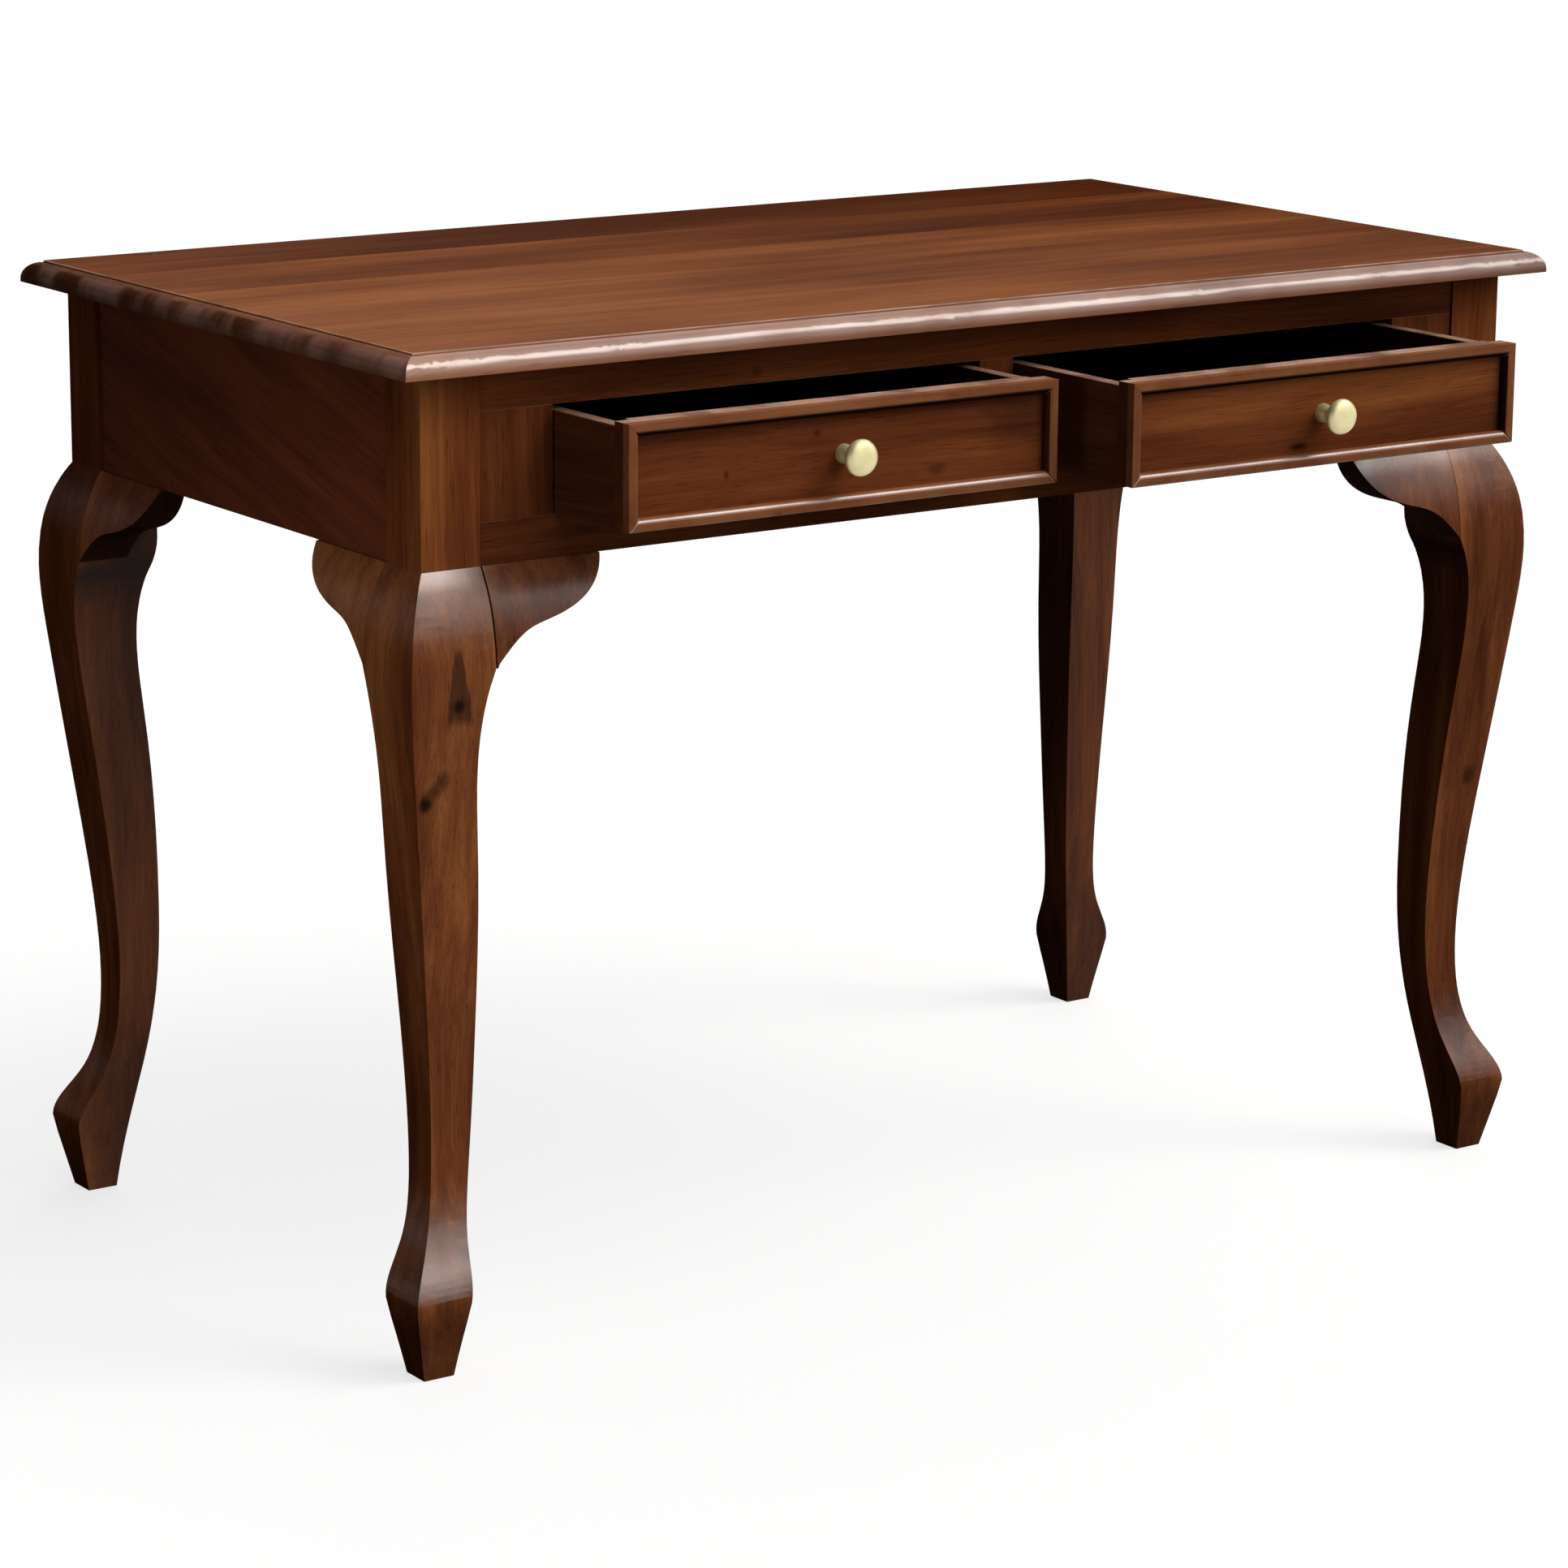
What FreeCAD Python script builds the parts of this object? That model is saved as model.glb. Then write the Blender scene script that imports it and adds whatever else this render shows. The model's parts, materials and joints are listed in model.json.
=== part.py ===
"""A two-drawer writing desk on cabriole legs, as a parametric document.

Millimetres. X runs along the front, Y from front to back, Z up. The origin is on the
floor under the middle of the top. The two drawers stand partly pulled out.
"""
import FreeCAD
import Part
import Sketcher
import os

SIZES = {
    # Overall
    "desk_width": 1100,
    "desk_depth": 610,
    "desk_height": 780,
    # Top: a flat field, a small step and a rounded edge
    "top_thickness": 18,
    "top_overhang": 28,
    "edge_reach": 14,
    "edge_step": 1.5,
    "edge_nose": 2.5,
    # Frame
    "post_width": 50,
    "apron_height": 146,
    "apron_thickness": 20,
    "apron_setback": 2,
    "rail_height": 32,
    "stile_width": 64,
    "muntin_width": 32,
    # Mortises and tenons
    "tenon_length": 22,
    "tenon_thickness": 10,
    "tenon_shoulder": 6,
    "stub_length": 8,
    "joint_clearance": 0.1,
    # Cabriole leg, reaches counted outwards from the post's outer face
    "foot_width": 26,
    "foot_reach": 10,
    "toe_height": 57,
    "toe_reach": 22.5,
    "ankle_height": 186,
    "ankle_recess": 9.4,
    "knee_reach": 21.5,
    "calf_height": 245,
    "calf_depth": 46,
    # Knee blocks
    "block_length": 103.5,
    "block_height": 73,
    # Drawers
    "drawer_gap": 1,
    "front_thickness": 17,
    "bead_width": 9.8,
    "bead_thickness": 8,
    "bead_round": 4.5,
    "bead_proud": 3,
    "lining_thickness": 12,
    "lining_inset": 1,
    "lining_drop": 3.5,
    "lap_depth": 6,
    "groove_depth": 5,
    "bottom_thickness": 6,
    "bottom_rise": 8,
    "side_tail": 10,
    "left_pull": 98,
    "right_pull": 147,
    # Runners, guides, kickers and stops
    "running_gap": 0.3,
    "runner_reach": 20,
    "runner_thickness": 20,
    "guide_width": 24,
    "guide_height": 28,
    "kicker_height": 22,
    "stop_height": 18,
    "stop_length": 17.7,
    # Buttons that hold the top down
    "button_length": 30,
    "button_width": 36,
    "button_thickness": 16,
    "tongue_length": 8,
    "tongue_thickness": 8,
    "button_spread": 260,
    # Screws
    "screw_diameter": 4,
    "screw_head_diameter": 8,
    "screw_head_height": 3,
    "screw_bite": 11,
    # Knobs
    "knob_diameter": 28,
    "knob_projection": 29,
    "knob_base_diameter": 15,
    "knob_neck_diameter": 10.5,
    "knob_head_height": 9,
    # How far every cutting solid runs past what it cuts
    "overrun": 5,
}

TOP_BOARDS = 5
HANDS = (("left", -1), ("right", 1))
CURVE_DEGREE = 3

# Poles between the named ends of each curve: (reach or depth share, height share)
INSTEP_SHARES = ((1.035, 0.13), (0.17, 0.33), (0, 0.745))
SHIN_SHARES = ((0, 0.104), (0.437, 0.38), (0.877, 0.66), (1.21, 0.9))
CALF_SHARES = ((0.648, 0.861), (0.94, 0.52), (1, 0.185))
HEEL_SHARES = ((1, 0.816), (0.817, 0.52), (0.2, 0.21))
BLOCK_SHARES = ((0.234, 0.36), (0.372, 0.386), (0.91, 0.6))
NECK_SHARES = ((0, 0.25), (1.15, 0.4), (1, 0.85))
HEAD_SHARES = ((1.02, 0.02), (1.04, 0.72), (0.62, 1))
HEAD_SEAT_SHARE = 0.9
EDGE_ROUND_SHARE = 0.55

doc = FreeCAD.newDocument("writing_desk")
sheet = doc.addObject("Spreadsheet::Sheet", "size")
for row, (alias, size) in enumerate(SIZES.items(), start=1):
    sheet.set(f"A{row}", alias)
    sheet.set(f"B{row}", str(size))
    sheet.setAlias(f"B{row}", alias)
doc.recompute()

pieces = []

# Planes that several pieces share, as expressions on the sheet
post_x = "(size.desk_width / 2 - size.top_overhang)"
post_y = "(size.desk_depth / 2 - size.top_overhang)"
inner_x = f"({post_x} - size.post_width)"
inner_y = f"({post_y} - size.post_width)"
top_under = "(size.desk_height - size.top_thickness)"
apron_under = f"({top_under} - size.apron_height)"
block_under = f"({apron_under} - size.block_height)"
apron_inner = "(size.apron_setback + size.apron_thickness)"
rail_face = f"({post_y} - size.apron_setback)"
rail_back = f"({post_y} - {apron_inner})"
side_face = f"({post_x} - size.apron_setback)"
side_back = f"({post_x} - {apron_inner})"
opening_low = f"({apron_under} + size.rail_height)"
opening_high = f"({top_under} - size.rail_height)"
opening_out = f"({inner_x} - size.stile_width)"
opening_in = "(size.muntin_width / 2)"

# The two tenon heights, one in each rail's height
tenon_heights = {
    "low": (f"{apron_under} + size.tenon_shoulder", f"{opening_low} - size.tenon_shoulder"),
    "high": (f"{opening_high} + size.tenon_shoulder", f"{top_under} - size.tenon_shoulder"),
}

# The drawer, in a frame on its own middle, pushed shut
drawer_x = f"(({opening_out} + {opening_in}) / 2)"
front_half = f"(({opening_out} - {opening_in}) / 2 - size.drawer_gap)"
front_low = f"({opening_low} + size.drawer_gap)"
front_high = f"({opening_high} - size.drawer_gap)"
bead_face = f"(-{rail_face} - size.bead_proud)"
board_face = f"({bead_face} + size.bead_thickness)"
board_back = f"({board_face} + size.front_thickness)"
stop_face = f"({rail_back} - size.stop_length)"
drawer_end = f"({stop_face} - size.running_gap)"
side_out = f"({front_half} - size.lining_inset)"
side_in = f"({side_out} - size.lining_thickness)"
side_low = f"({opening_low} + size.running_gap)"
side_high = f"({front_high} - size.lining_drop)"
bottom_low = f"({side_low} + size.bottom_rise)"
bottom_high = f"({bottom_low} + size.bottom_thickness)"
housing = f"({side_in} + size.groove_depth)"
knob_height = f"(({front_low} + {front_high}) / 2)"


def number(expression):
    """The value of an expression on the sheet."""
    return float(sheet.evalExpression(expression))


def widen(span, by):
    """A span of two expressions made larger at both ends."""
    return f"{span[0]} - {by}", f"{span[1]} + {by}"


def both(half):
    """The span from minus a half size to plus that half size."""
    return f"-{half}", half


def mirror(span):
    """The same span on the negative side."""
    return f"-({span[1]})", f"-({span[0]})"


def on_side(sign, near, far):
    """The span between two distances, on the positive or the negative side."""
    return (near, far) if sign > 0 else mirror((near, far))


def piece(shape, label):
    """Marks an object as a finished piece under its own label."""
    shape.Label = label
    pieces.append(shape)
    return shape


def place(thing, x="0", y="0", z="0", turn=0):
    """Moves an object to a place given by expressions, turned about Z."""
    thing.Placement.Rotation = FreeCAD.Rotation(FreeCAD.Vector(0, 0, 1), turn)
    for axis, expression in zip("xyz", (x, y, z)):
        thing.setExpression(f"Placement.Base.{axis}", expression)
    return thing


def box(name, x, y, z, shift=("0", "0")):
    """A box between three spans of expressions, moved along X and Y."""
    block = doc.addObject("Part::Box", name)
    for size, axis, (low, high), move in zip(("Length", "Width", "Height"), "xyz", (x, y, z), (*shift, "0")):
        block.setExpression(size, f"{high} - ({low})")
        block.setExpression(f"Placement.Base.{axis}", f"{low} + {move}")
    return block


def rod(name, diameter, x, y, z):
    """An upright cylinder at x, y between two heights."""
    cylinder = doc.addObject("Part::Cylinder", name)
    cylinder.setExpression("Radius", f"({diameter}) / 2")
    cylinder.setExpression("Height", f"{z[1]} - ({z[0]})")
    return place(cylinder, x, y, z[0])


def pin(name, diameter, start, length):
    """A cylinder on the knob's axis, from its back end towards the front."""
    cylinder = doc.addObject("Part::Cylinder", name)
    cylinder.setExpression("Radius", f"({diameter}) / 2")
    cylinder.setExpression("Height", length)
    cylinder.Placement.Rotation = FreeCAD.Rotation(FreeCAD.Vector(1, 0, 0), 90)
    cylinder.setExpression("Placement.Base.y", start)
    cylinder.setExpression("Placement.Base.z", knob_height)
    return cylinder


def fuse(name, *solids):
    """One solid from several that touch or overlap."""
    union = doc.addObject("Part::MultiFuse", name)
    union.Shapes = list(solids)
    union.Refine = True
    return union


def common(name, *solids):
    """What several solids share."""
    shared = doc.addObject("Part::MultiCommon", name)
    shared.Shapes = list(solids)
    return shared


def cut(name, base, tool):
    """A solid with another taken out of it."""
    rest = doc.addObject("Part::Cut", name)
    rest.Base = base
    rest.Tool = tool
    return rest


def group(name, members):
    """Several solids kept apart in one object."""
    bundle = doc.addObject("Part::Compound", name)
    bundle.Links = members
    return bundle


def bind(sketch, kind, geometry, point, expression):
    """Ties one coordinate of a sketch point to an expression."""
    constraint = Sketcher.Constraint(kind, -1, 1, geometry, point, number(expression))
    index = sketch.addConstraint(constraint)
    sketch.setExpression(f"Constraints[{index}]", expression)


def draw(sketch, edges):
    """Fills a sketch with a closed outline of lines and curves.

    An edge is a list of points, two for a line and more for the poles of a curve, and
    starts where the one before it ends. Every point but that shared end is bound.
    """
    ends = []
    for edge in edges:
        points = [FreeCAD.Vector(number(across), number(up), 0) for across, up in edge]
        if len(edge) == 2:
            line = sketch.addGeometry(Part.LineSegment(*points))
            handles = [(line, 1)]
        else:
            curve = Part.BSplineCurve()
            curve.buildFromPoles(points, False, CURVE_DEGREE)
            line = sketch.addGeometry(curve)
            sketch.exposeInternalGeometry(line)
            handles = [(line + 1 + pole, 3) for pole in range(len(edge) - 1)]
        for (geometry, point), (across, up) in zip(handles, edge):
            bind(sketch, "DistanceX", geometry, point, across)
            bind(sketch, "DistanceY", geometry, point, up)
        ends.append(line)
    for line, following in zip(ends, ends[1:] + ends[:1]):
        sketch.addConstraint(Sketcher.Constraint("Coincident", line, 2, following, 1))
    return sketch


def polygon(*corners):
    """The edges of a straight-sided outline."""
    return [list(pair) for pair in zip(corners, corners[1:] + corners[:1])]


def extrude(name, plane, edges, span):
    """An outline drawn across X or Y and up Z, carried along the other axis."""
    sketch = doc.addObject("Sketcher::SketchObject", f"{name}_outline")
    if plane == "XZ":
        sketch.Placement.Rotation = FreeCAD.Rotation(FreeCAD.Vector(1, 0, 0), 90)
        direction = FreeCAD.Vector(0, 1, 0)
    else:
        sketch.Placement.Rotation = FreeCAD.Rotation(FreeCAD.Vector(1, 1, 1), 120)
        direction = FreeCAD.Vector(1, 0, 0)
    draw(sketch, edges)
    solid = doc.addObject("Part::Extrusion", name)
    solid.Base = sketch
    solid.DirMode = "Custom"
    solid.Dir = direction
    solid.Solid = True
    solid.setExpression("LengthFwd", span[1])
    solid.setExpression("LengthRev", f"-({span[0]})")
    return solid


def body(name, plane, edges):
    """A body with one outline on one of its own origin planes."""
    holder = doc.addObject("PartDesign::Body", name)
    sketch = holder.newObject("Sketcher::SketchObject", f"{name}_outline")
    support = [item for item in holder.Origin.OriginFeatures if item.Role == f"{plane}_Plane"]
    sketch.AttachmentSupport = [(support[0], "")]
    sketch.MapMode = "FlatFace"
    draw(sketch, edges)
    return holder, sketch


def edge_between(shape, start, end):
    """The name of a solid's edge nearest to lying between two points."""
    def miss(edge):
        ends = [vertex.Point for vertex in edge.Vertexes]
        return sum(min(point.distanceToPoint(spot) for spot in ends) for point in (start, end))
    nearest = min(shape.Edges, key=miss)
    return f"Edge{[edge.isSame(nearest) for edge in shape.Edges].index(True) + 1}"


def between(start, end, share):
    """The expression part of the way from one expression to another."""
    return f"({start} + ({end} - ({start})) * {share})"


def poles(start, end, shares, low, high):
    """A curve's inner poles: shares of a reach and of a height."""
    return [(between(start, end, across), between(low, high, up)) for across, up in shares]


# Top: the edge moulding is worked round the glued panel, so its corners are mitred
def top_outline(half):
    """The top's outline across its width or its depth."""
    field = f"({half} - size.edge_reach)"
    seat = "(size.desk_height - size.edge_step)"
    nose = f"({top_under} + size.edge_nose)"
    rise = between(nose, seat, EDGE_ROUND_SHARE)
    swell = between(field, half, EDGE_ROUND_SHARE)
    right = [(half, nose), (half, rise), (swell, seat), (field, seat)]
    left = [(f"-{across}", up) for across, up in reversed(right)]
    crown = (field, "size.desk_height")
    far_crown = (f"-{field}", "size.desk_height")
    under = (half, top_under)
    far_under = (f"-{half}", top_under)
    return [[far_under, under], [under, right[0]], right, [right[-1], crown], [crown, far_crown],
            [far_crown, left[0]], left, [left[-1], far_under]]


half_width = "(size.desk_width / 2)"
half_depth = "(size.desk_depth / 2)"
long_slab = extrude("long_slab", "XZ", top_outline(half_width), both(half_depth))
deep_slab = extrude("deep_slab", "YZ", top_outline(half_depth), both(half_width))

# Buttons: places along the four inner faces, as x, y and the turn of the tongue
button_places = []
for sign in ("", "-"):
    button_places.append((side_back, f"{sign}size.button_spread / 2", 0))
    button_places.append((f"-{side_back}", f"{sign}size.button_spread / 2", 180))
    button_places.append((f"{sign}{drawer_x}", rail_back, 90))
    button_places.append((f"{sign}{drawer_x}", f"-{rail_back}", 270))

button_under = "(-size.button_thickness)"
tongue_top = f"({button_under} + size.tongue_thickness)"
screw_place = "(-size.button_length / 2)"
screw_hole = "(size.screw_diameter + 2 * size.joint_clearance)"
button_block = box("button_block", ("-size.button_length", "0"), both("size.button_width / 2"),
                   (button_under, "0"))
button_tongue = box("button_tongue", (screw_place, "size.tongue_length"),
                    both("size.button_width / 2"), (button_under, tongue_top))
button_blank = fuse("button_blank", button_block, button_tongue)
button_bore = rod("button_bore", screw_hole, screw_place, "0",
                  (f"{button_under} - size.overrun", "size.overrun"))
screw_shank = rod("screw_shank", "size.screw_diameter", screw_place, "0", (button_under, "size.screw_bite"))
screw_head = rod("screw_head", "size.screw_head_diameter", screw_place, "0",
                 (f"{button_under} - size.screw_head_height", button_under))
pilot_depth = "size.screw_bite + size.joint_clearance"
pilot_bore = rod("pilot_bore", screw_hole, screw_place, "0", ("-size.overrun", pilot_depth))

buttons = []
screws = []
pilots = []
for count, (x, y, turn) in enumerate(button_places, start=1):
    buttons.append(place(cut(f"button_{count}", button_blank, button_bore), x, y, top_under, turn))
    screws.append(place(fuse(f"screw_{count}", screw_shank, screw_head), x, y, top_under, turn))
    pilots.append(place(group(f"pilot_{count}", [pilot_bore]), x, y, top_under, turn))
piece(group("top_buttons", buttons), "top_buttons")
piece(group("top_screws", screws), "top_screws")
pilot_holes = group("pilot_holes", pilots)

for count in range(TOP_BOARDS):
    edges = [f"(size.desk_depth * ({line} / {TOP_BOARDS}) - {half_depth})" for line in (count, count + 1)]
    strip = box(f"top_strip_{count + 1}", both(half_width), edges, (top_under, "size.desk_height"))
    board = common(f"top_blank_{count + 1}", long_slab, deep_slab, strip)
    piece(cut(f"top_board_{count + 1}", board, pilot_holes), f"top_board_{count + 1}")

# Legs: the same bandsawn outline from two sides, with a square post above the knee
foot = (("size.foot_reach", "0"), ("size.foot_reach - size.foot_width", "0"))
toe = ("size.toe_reach", "size.toe_height")
ankle = ("-size.ankle_recess", "size.ankle_height")
shoulder = ("0", apron_under)
shoulder_under = ("-size.post_width", block_under)
calf = ("-size.calf_depth", "size.calf_height")
instep_poles = poles(ankle[0], toe[0], INSTEP_SHARES, toe[1], ankle[1])
shin_poles = poles(ankle[0], "size.knee_reach", SHIN_SHARES, ankle[1], shoulder[1])
calf_poles = poles("0", calf[0], CALF_SHARES, calf[1], block_under)
heel_poles = poles(foot[1][0], calf[0], HEEL_SHARES, "0", calf[1])
leg_edges = [[foot[1], foot[0]],
             [foot[0], toe],
             [toe, *instep_poles, ankle],
             [ankle, *shin_poles, shoulder],
             [shoulder, ("0", top_under)],
             [("0", top_under), ("-size.post_width", top_under)],
             [("-size.post_width", top_under), shoulder_under],
             [shoulder_under, *calf_poles, calf],
             [calf, *heel_poles, foot[1]]]
leg_span = ("-size.post_width - size.overrun", "size.toe_reach + size.knee_reach")
leg_blank = common("leg_blank", extrude("leg_from_front", "XZ", leg_edges, leg_span),
                   extrude("leg_from_side", "YZ", leg_edges, leg_span))

mortise_run = ("-size.post_width - size.overrun",
               "-size.post_width + size.tenon_length + size.joint_clearance")
tenon_middle = "(size.apron_setback + size.apron_thickness / 2)"
tenon_cheeks = (f"-{tenon_middle} - size.tenon_thickness / 2", f"-{tenon_middle} + size.tenon_thickness / 2")
mortises = []
for name, heights in tenon_heights.items():
    fit = widen(tenon_cheeks, "size.joint_clearance")
    room = widen(heights, "size.joint_clearance")
    mortises.append(box(f"mortise_along_{name}", mortise_run, fit, room))
    mortises.append(box(f"mortise_across_{name}", fit, mortise_run, room))
leg_mortises = fuse("leg_mortises", *mortises)

# Knee blocks: an ogee outline whose face carries on the knee's curve, in two hands
block_end = "(-size.post_width - size.block_length)"
block_poles = poles("-size.post_width", block_end, BLOCK_SHARES, block_under, apron_under)
block_edges = [[shoulder_under, *block_poles, (block_end, apron_under)],
               [(block_end, apron_under), ("-size.post_width", apron_under)],
               [("-size.post_width", apron_under), shoulder_under]]
face_edges = [[ankle, *shin_poles, shoulder],
              [shoulder, (f"-{apron_inner}", apron_under)],
              [(f"-{apron_inner}", apron_under), (f"-{apron_inner}", ankle[1])],
              [(f"-{apron_inner}", ankle[1]), ankle]]
block_run = (f"{block_end} - size.overrun", "-size.post_width")
hands = {
    "along": (extrude("block_along_ogee", "XZ", block_edges, leg_span),
              extrude("block_along_face", "YZ", face_edges, block_run)),
    "across": (extrude("block_across_ogee", "YZ", block_edges, leg_span),
               extrude("block_across_face", "XZ", face_edges, block_run)),
}

# Four corners: name, signs of x and y, turn, and which hand of block faces which way; the back has none
corners = (("back_right", "", "", 0, {"side": "across"}),
           ("back_left", "-", "", 90, {"side": "along"}),
           ("front_left", "-", "-", 180, {"front": "along", "side": "across"}),
           ("front_right", "", "-", 270, {"front": "across", "side": "along"}))
for corner, sign_x, sign_y, turn, blocks in corners:
    spot = (f"{sign_x}{post_x}", f"{sign_y}{post_y}")
    leg = cut(f"leg_{corner}", leg_blank, leg_mortises)
    piece(place(leg, *spot, turn=turn), f"leg_{corner}")
    for facing, hand in blocks.items():
        label = f"knee_block_{corner}_{facing}"
        block = common(label, *hands[hand])
        piece(place(block, *spot, turn=turn), label)

# Aprons and rails: twin tenons at the aprons' ends, one at each end of a rail
rail_tenon_run = both(f"({inner_x} + size.tenon_length)")
side_tenon_run = both(f"({inner_y} + size.tenon_length)")
rail_cheeks = (f"{post_y} {tenon_cheeks[0]}", f"{post_y} {tenon_cheeks[1]}")
side_cheeks = (f"{post_x} {tenon_cheeks[0]}", f"{post_x} {tenon_cheeks[1]}")
groove_room = widen((f"{top_under} + {button_under}", f"{top_under} + {tongue_top}"), "size.joint_clearance")
groove_floor = "(size.tongue_length + size.joint_clearance)"
rail_groove = (f"{rail_back} - size.overrun", f"{rail_back} + {groove_floor}")
side_groove = (f"{side_back} - size.overrun", f"{side_back} + {groove_floor}")

back_board = box("back_board", both(inner_x), (rail_back, rail_face), (apron_under, top_under))
back_tenons = [box(f"back_tenon_{name}", rail_tenon_run, rail_cheeks, heights)
               for name, heights in tenon_heights.items()]
back_groove = box("back_groove", both(inner_x), rail_groove, groove_room)
piece(cut("apron_back", fuse("back_blank", back_board, *back_tenons), back_groove), "apron_back")

for hand, sign in HANDS:
    board = box(f"{hand}_board", on_side(sign, side_back, side_face), both(inner_y),
                (apron_under, top_under))
    tenons = [box(f"{hand}_tenon_{name}", on_side(sign, *side_cheeks), side_tenon_run, heights)
              for name, heights in tenon_heights.items()]
    groove = box(f"{hand}_groove", on_side(sign, *side_groove), both(inner_y), groove_room)
    piece(cut(f"apron_{hand}", fuse(f"{hand}_blank", board, *tenons), groove), f"apron_{hand}")

# Front frame: two rails, two stiles and a muntin with stub tenons
front_run = on_side(-1, rail_back, rail_face)
front_cheeks = mirror(rail_cheeks)
uprights = {"stile_left": on_side(-1, opening_out, inner_x), "stile_right": (opening_out, inner_x),
            "muntin": both(opening_in)}
stub_run = (f"{opening_low} - size.stub_length", f"{opening_high} + size.stub_length")
stub_mortises = []
for name, width in uprights.items():
    stub_width = (f"{width[0]} + size.tenon_shoulder", f"{width[1]} - size.tenon_shoulder")
    upright = box(f"{name}_board", width, front_run, (opening_low, opening_high))
    stub = box(f"{name}_stub", stub_width, front_cheeks, stub_run)
    piece(fuse(name, upright, stub), name)
    stub_room = [widen(span, "size.joint_clearance") for span in (stub_width, front_cheeks, stub_run)]
    stub_mortises.append(box(f"{name}_mortise", *stub_room))
front_groove = box("front_groove", both(inner_x), mirror(rail_groove), groove_room)
rails = {"rail_lower": ((apron_under, opening_low), tenon_heights["low"], stub_mortises),
         "rail_upper": ((opening_high, top_under), tenon_heights["high"], [*stub_mortises, front_groove])}
for name, (heights, tenon, hollows) in rails.items():
    board = box(f"{name}_board", both(inner_x), front_run, heights)
    ends = box(f"{name}_tenon", rail_tenon_run, front_cheeks, tenon)
    blank = fuse(f"{name}_blank", board, ends)
    piece(cut(name, blank, fuse(f"{name}_hollows", *hollows)), name)

# Runners carry the drawers, guides steer them, kickers stop them tipping
inside_run = both(rail_back)
bearer = on_side(1, f"({opening_out} - size.runner_reach)", f"({opening_out} + size.guide_width)")
fence = on_side(1, opening_out, f"({opening_out} + size.guide_width)")
bays = {"left": (mirror(bearer), mirror(fence)), "right": (bearer, fence),
        "middle": (both(f"({opening_in} + size.runner_reach)"), both(opening_in))}
for bay, (bearer_width, fence_width) in bays.items():
    piece(box(f"runner_{bay}", bearer_width, inside_run,
              (f"{opening_low} - size.runner_thickness", opening_low)), f"runner_{bay}")
    piece(box(f"guide_{bay}", fence_width, inside_run,
              (opening_low, f"{opening_low} + size.guide_height")), f"guide_{bay}")
    piece(box(f"kicker_{bay}", bearer_width, inside_run,
              (opening_high, f"{opening_high} + size.kicker_height")), f"kicker_{bay}")

stops = []
for bay, bay_sign in HANDS:
    middle = on_side(bay_sign, drawer_x, drawer_x)[0]
    for side, side_sign in HANDS:
        stops.append(box(f"stop_{bay}_{side}", on_side(side_sign, side_in, side_out),
                         (stop_face, rail_back), (opening_low, f"{opening_low} + size.stop_height"),
                         (middle, "0")))
piece(group("drawer_stops", stops), "drawer_stops")

# Drawer solids that both drawers share, in the drawer's own frame
lap_start = f"({board_back} - size.lap_depth)"
slot = widen((bottom_low, bottom_high), "size.joint_clearance")
back_run = (f"{drawer_end} - size.side_tail - size.lining_thickness", f"{drawer_end} - size.side_tail")

front_board = box("front_board", both(front_half), (board_face, board_back), (front_low, front_high))
front_slot = box("front_slot", both(side_in),
                 (f"{board_back} - size.groove_depth", f"{board_back} + size.overrun"), slot)
stud_hole = pin("stud_hole", screw_hole, f"{board_back} + size.overrun",
                "size.front_thickness + 2 * size.overrun")
front_hollows = [front_slot, stud_hole]
sides = {}
for hand, sign in HANDS:
    front_hollows.append(box(f"lap_{hand}", on_side(sign, side_in, f"({front_half} + size.overrun)"),
                             (lap_start, f"{board_back} + size.overrun"),
                             widen((front_low, front_high), "size.overrun")))
    plank = box(f"plank_{hand}", on_side(sign, side_in, side_out), (lap_start, drawer_end),
                (side_low, side_high))
    depth = on_side(sign, f"({side_in} - size.overrun)", housing)
    ploughed = box(f"ploughed_{hand}", depth, widen((lap_start, drawer_end), "size.overrun"), slot)
    housed = box(f"housed_{hand}", depth, back_run, (bottom_low, f"{side_high} + size.overrun"))
    sides[hand] = (plank, fuse(f"side_hollows_{hand}", ploughed, housed))
front_tools = fuse("front_hollows", *front_hollows)
stud_shank = pin("stud_shank", "size.screw_diameter", board_back, "size.front_thickness + size.screw_bite")
stud_head = pin("stud_head", "size.screw_head_diameter", f"{board_back} + size.screw_head_height",
                "size.screw_head_height")

# Bead strips: mitred at the corners, with the inner front edge rounded over
bead_half = f"({front_half} - size.bead_width)"
bead_low = f"({front_low} + size.bead_width)"
bead_high = f"({front_high} - size.bead_width)"
outer_ring = ((f"-{front_half}", front_low), (front_half, front_low), (front_half, front_high),
              (f"-{front_half}", front_high))
inner_ring = ((f"-{bead_half}", bead_low), (bead_half, bead_low), (bead_half, bead_high),
              (f"-{bead_half}", bead_high))


def bead_strip(label, index, spot):
    """One side of the raised frame on a drawer front."""
    following = (index + 1) % len(outer_ring)
    rim = (inner_ring[following], inner_ring[index])
    strip, sketch = body(label, "XZ", polygon(outer_ring[index], outer_ring[following], *rim))
    pad = strip.newObject("PartDesign::Pad", f"{label}_pad")
    pad.Profile = sketch
    pad.setExpression("Length", "size.bead_thickness")
    doc.recompute()
    ends = [FreeCAD.Vector(number(across), -number("size.bead_thickness"), number(up)) for across, up in rim]
    rounding = strip.newObject("PartDesign::Fillet", f"{label}_round")
    rounding.Base = (pad, [edge_between(pad.Shape, *ends)])
    rounding.setExpression("Radius", "size.bead_round")
    strip.Tip = rounding
    return piece(place(strip, *spot), label)


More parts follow.
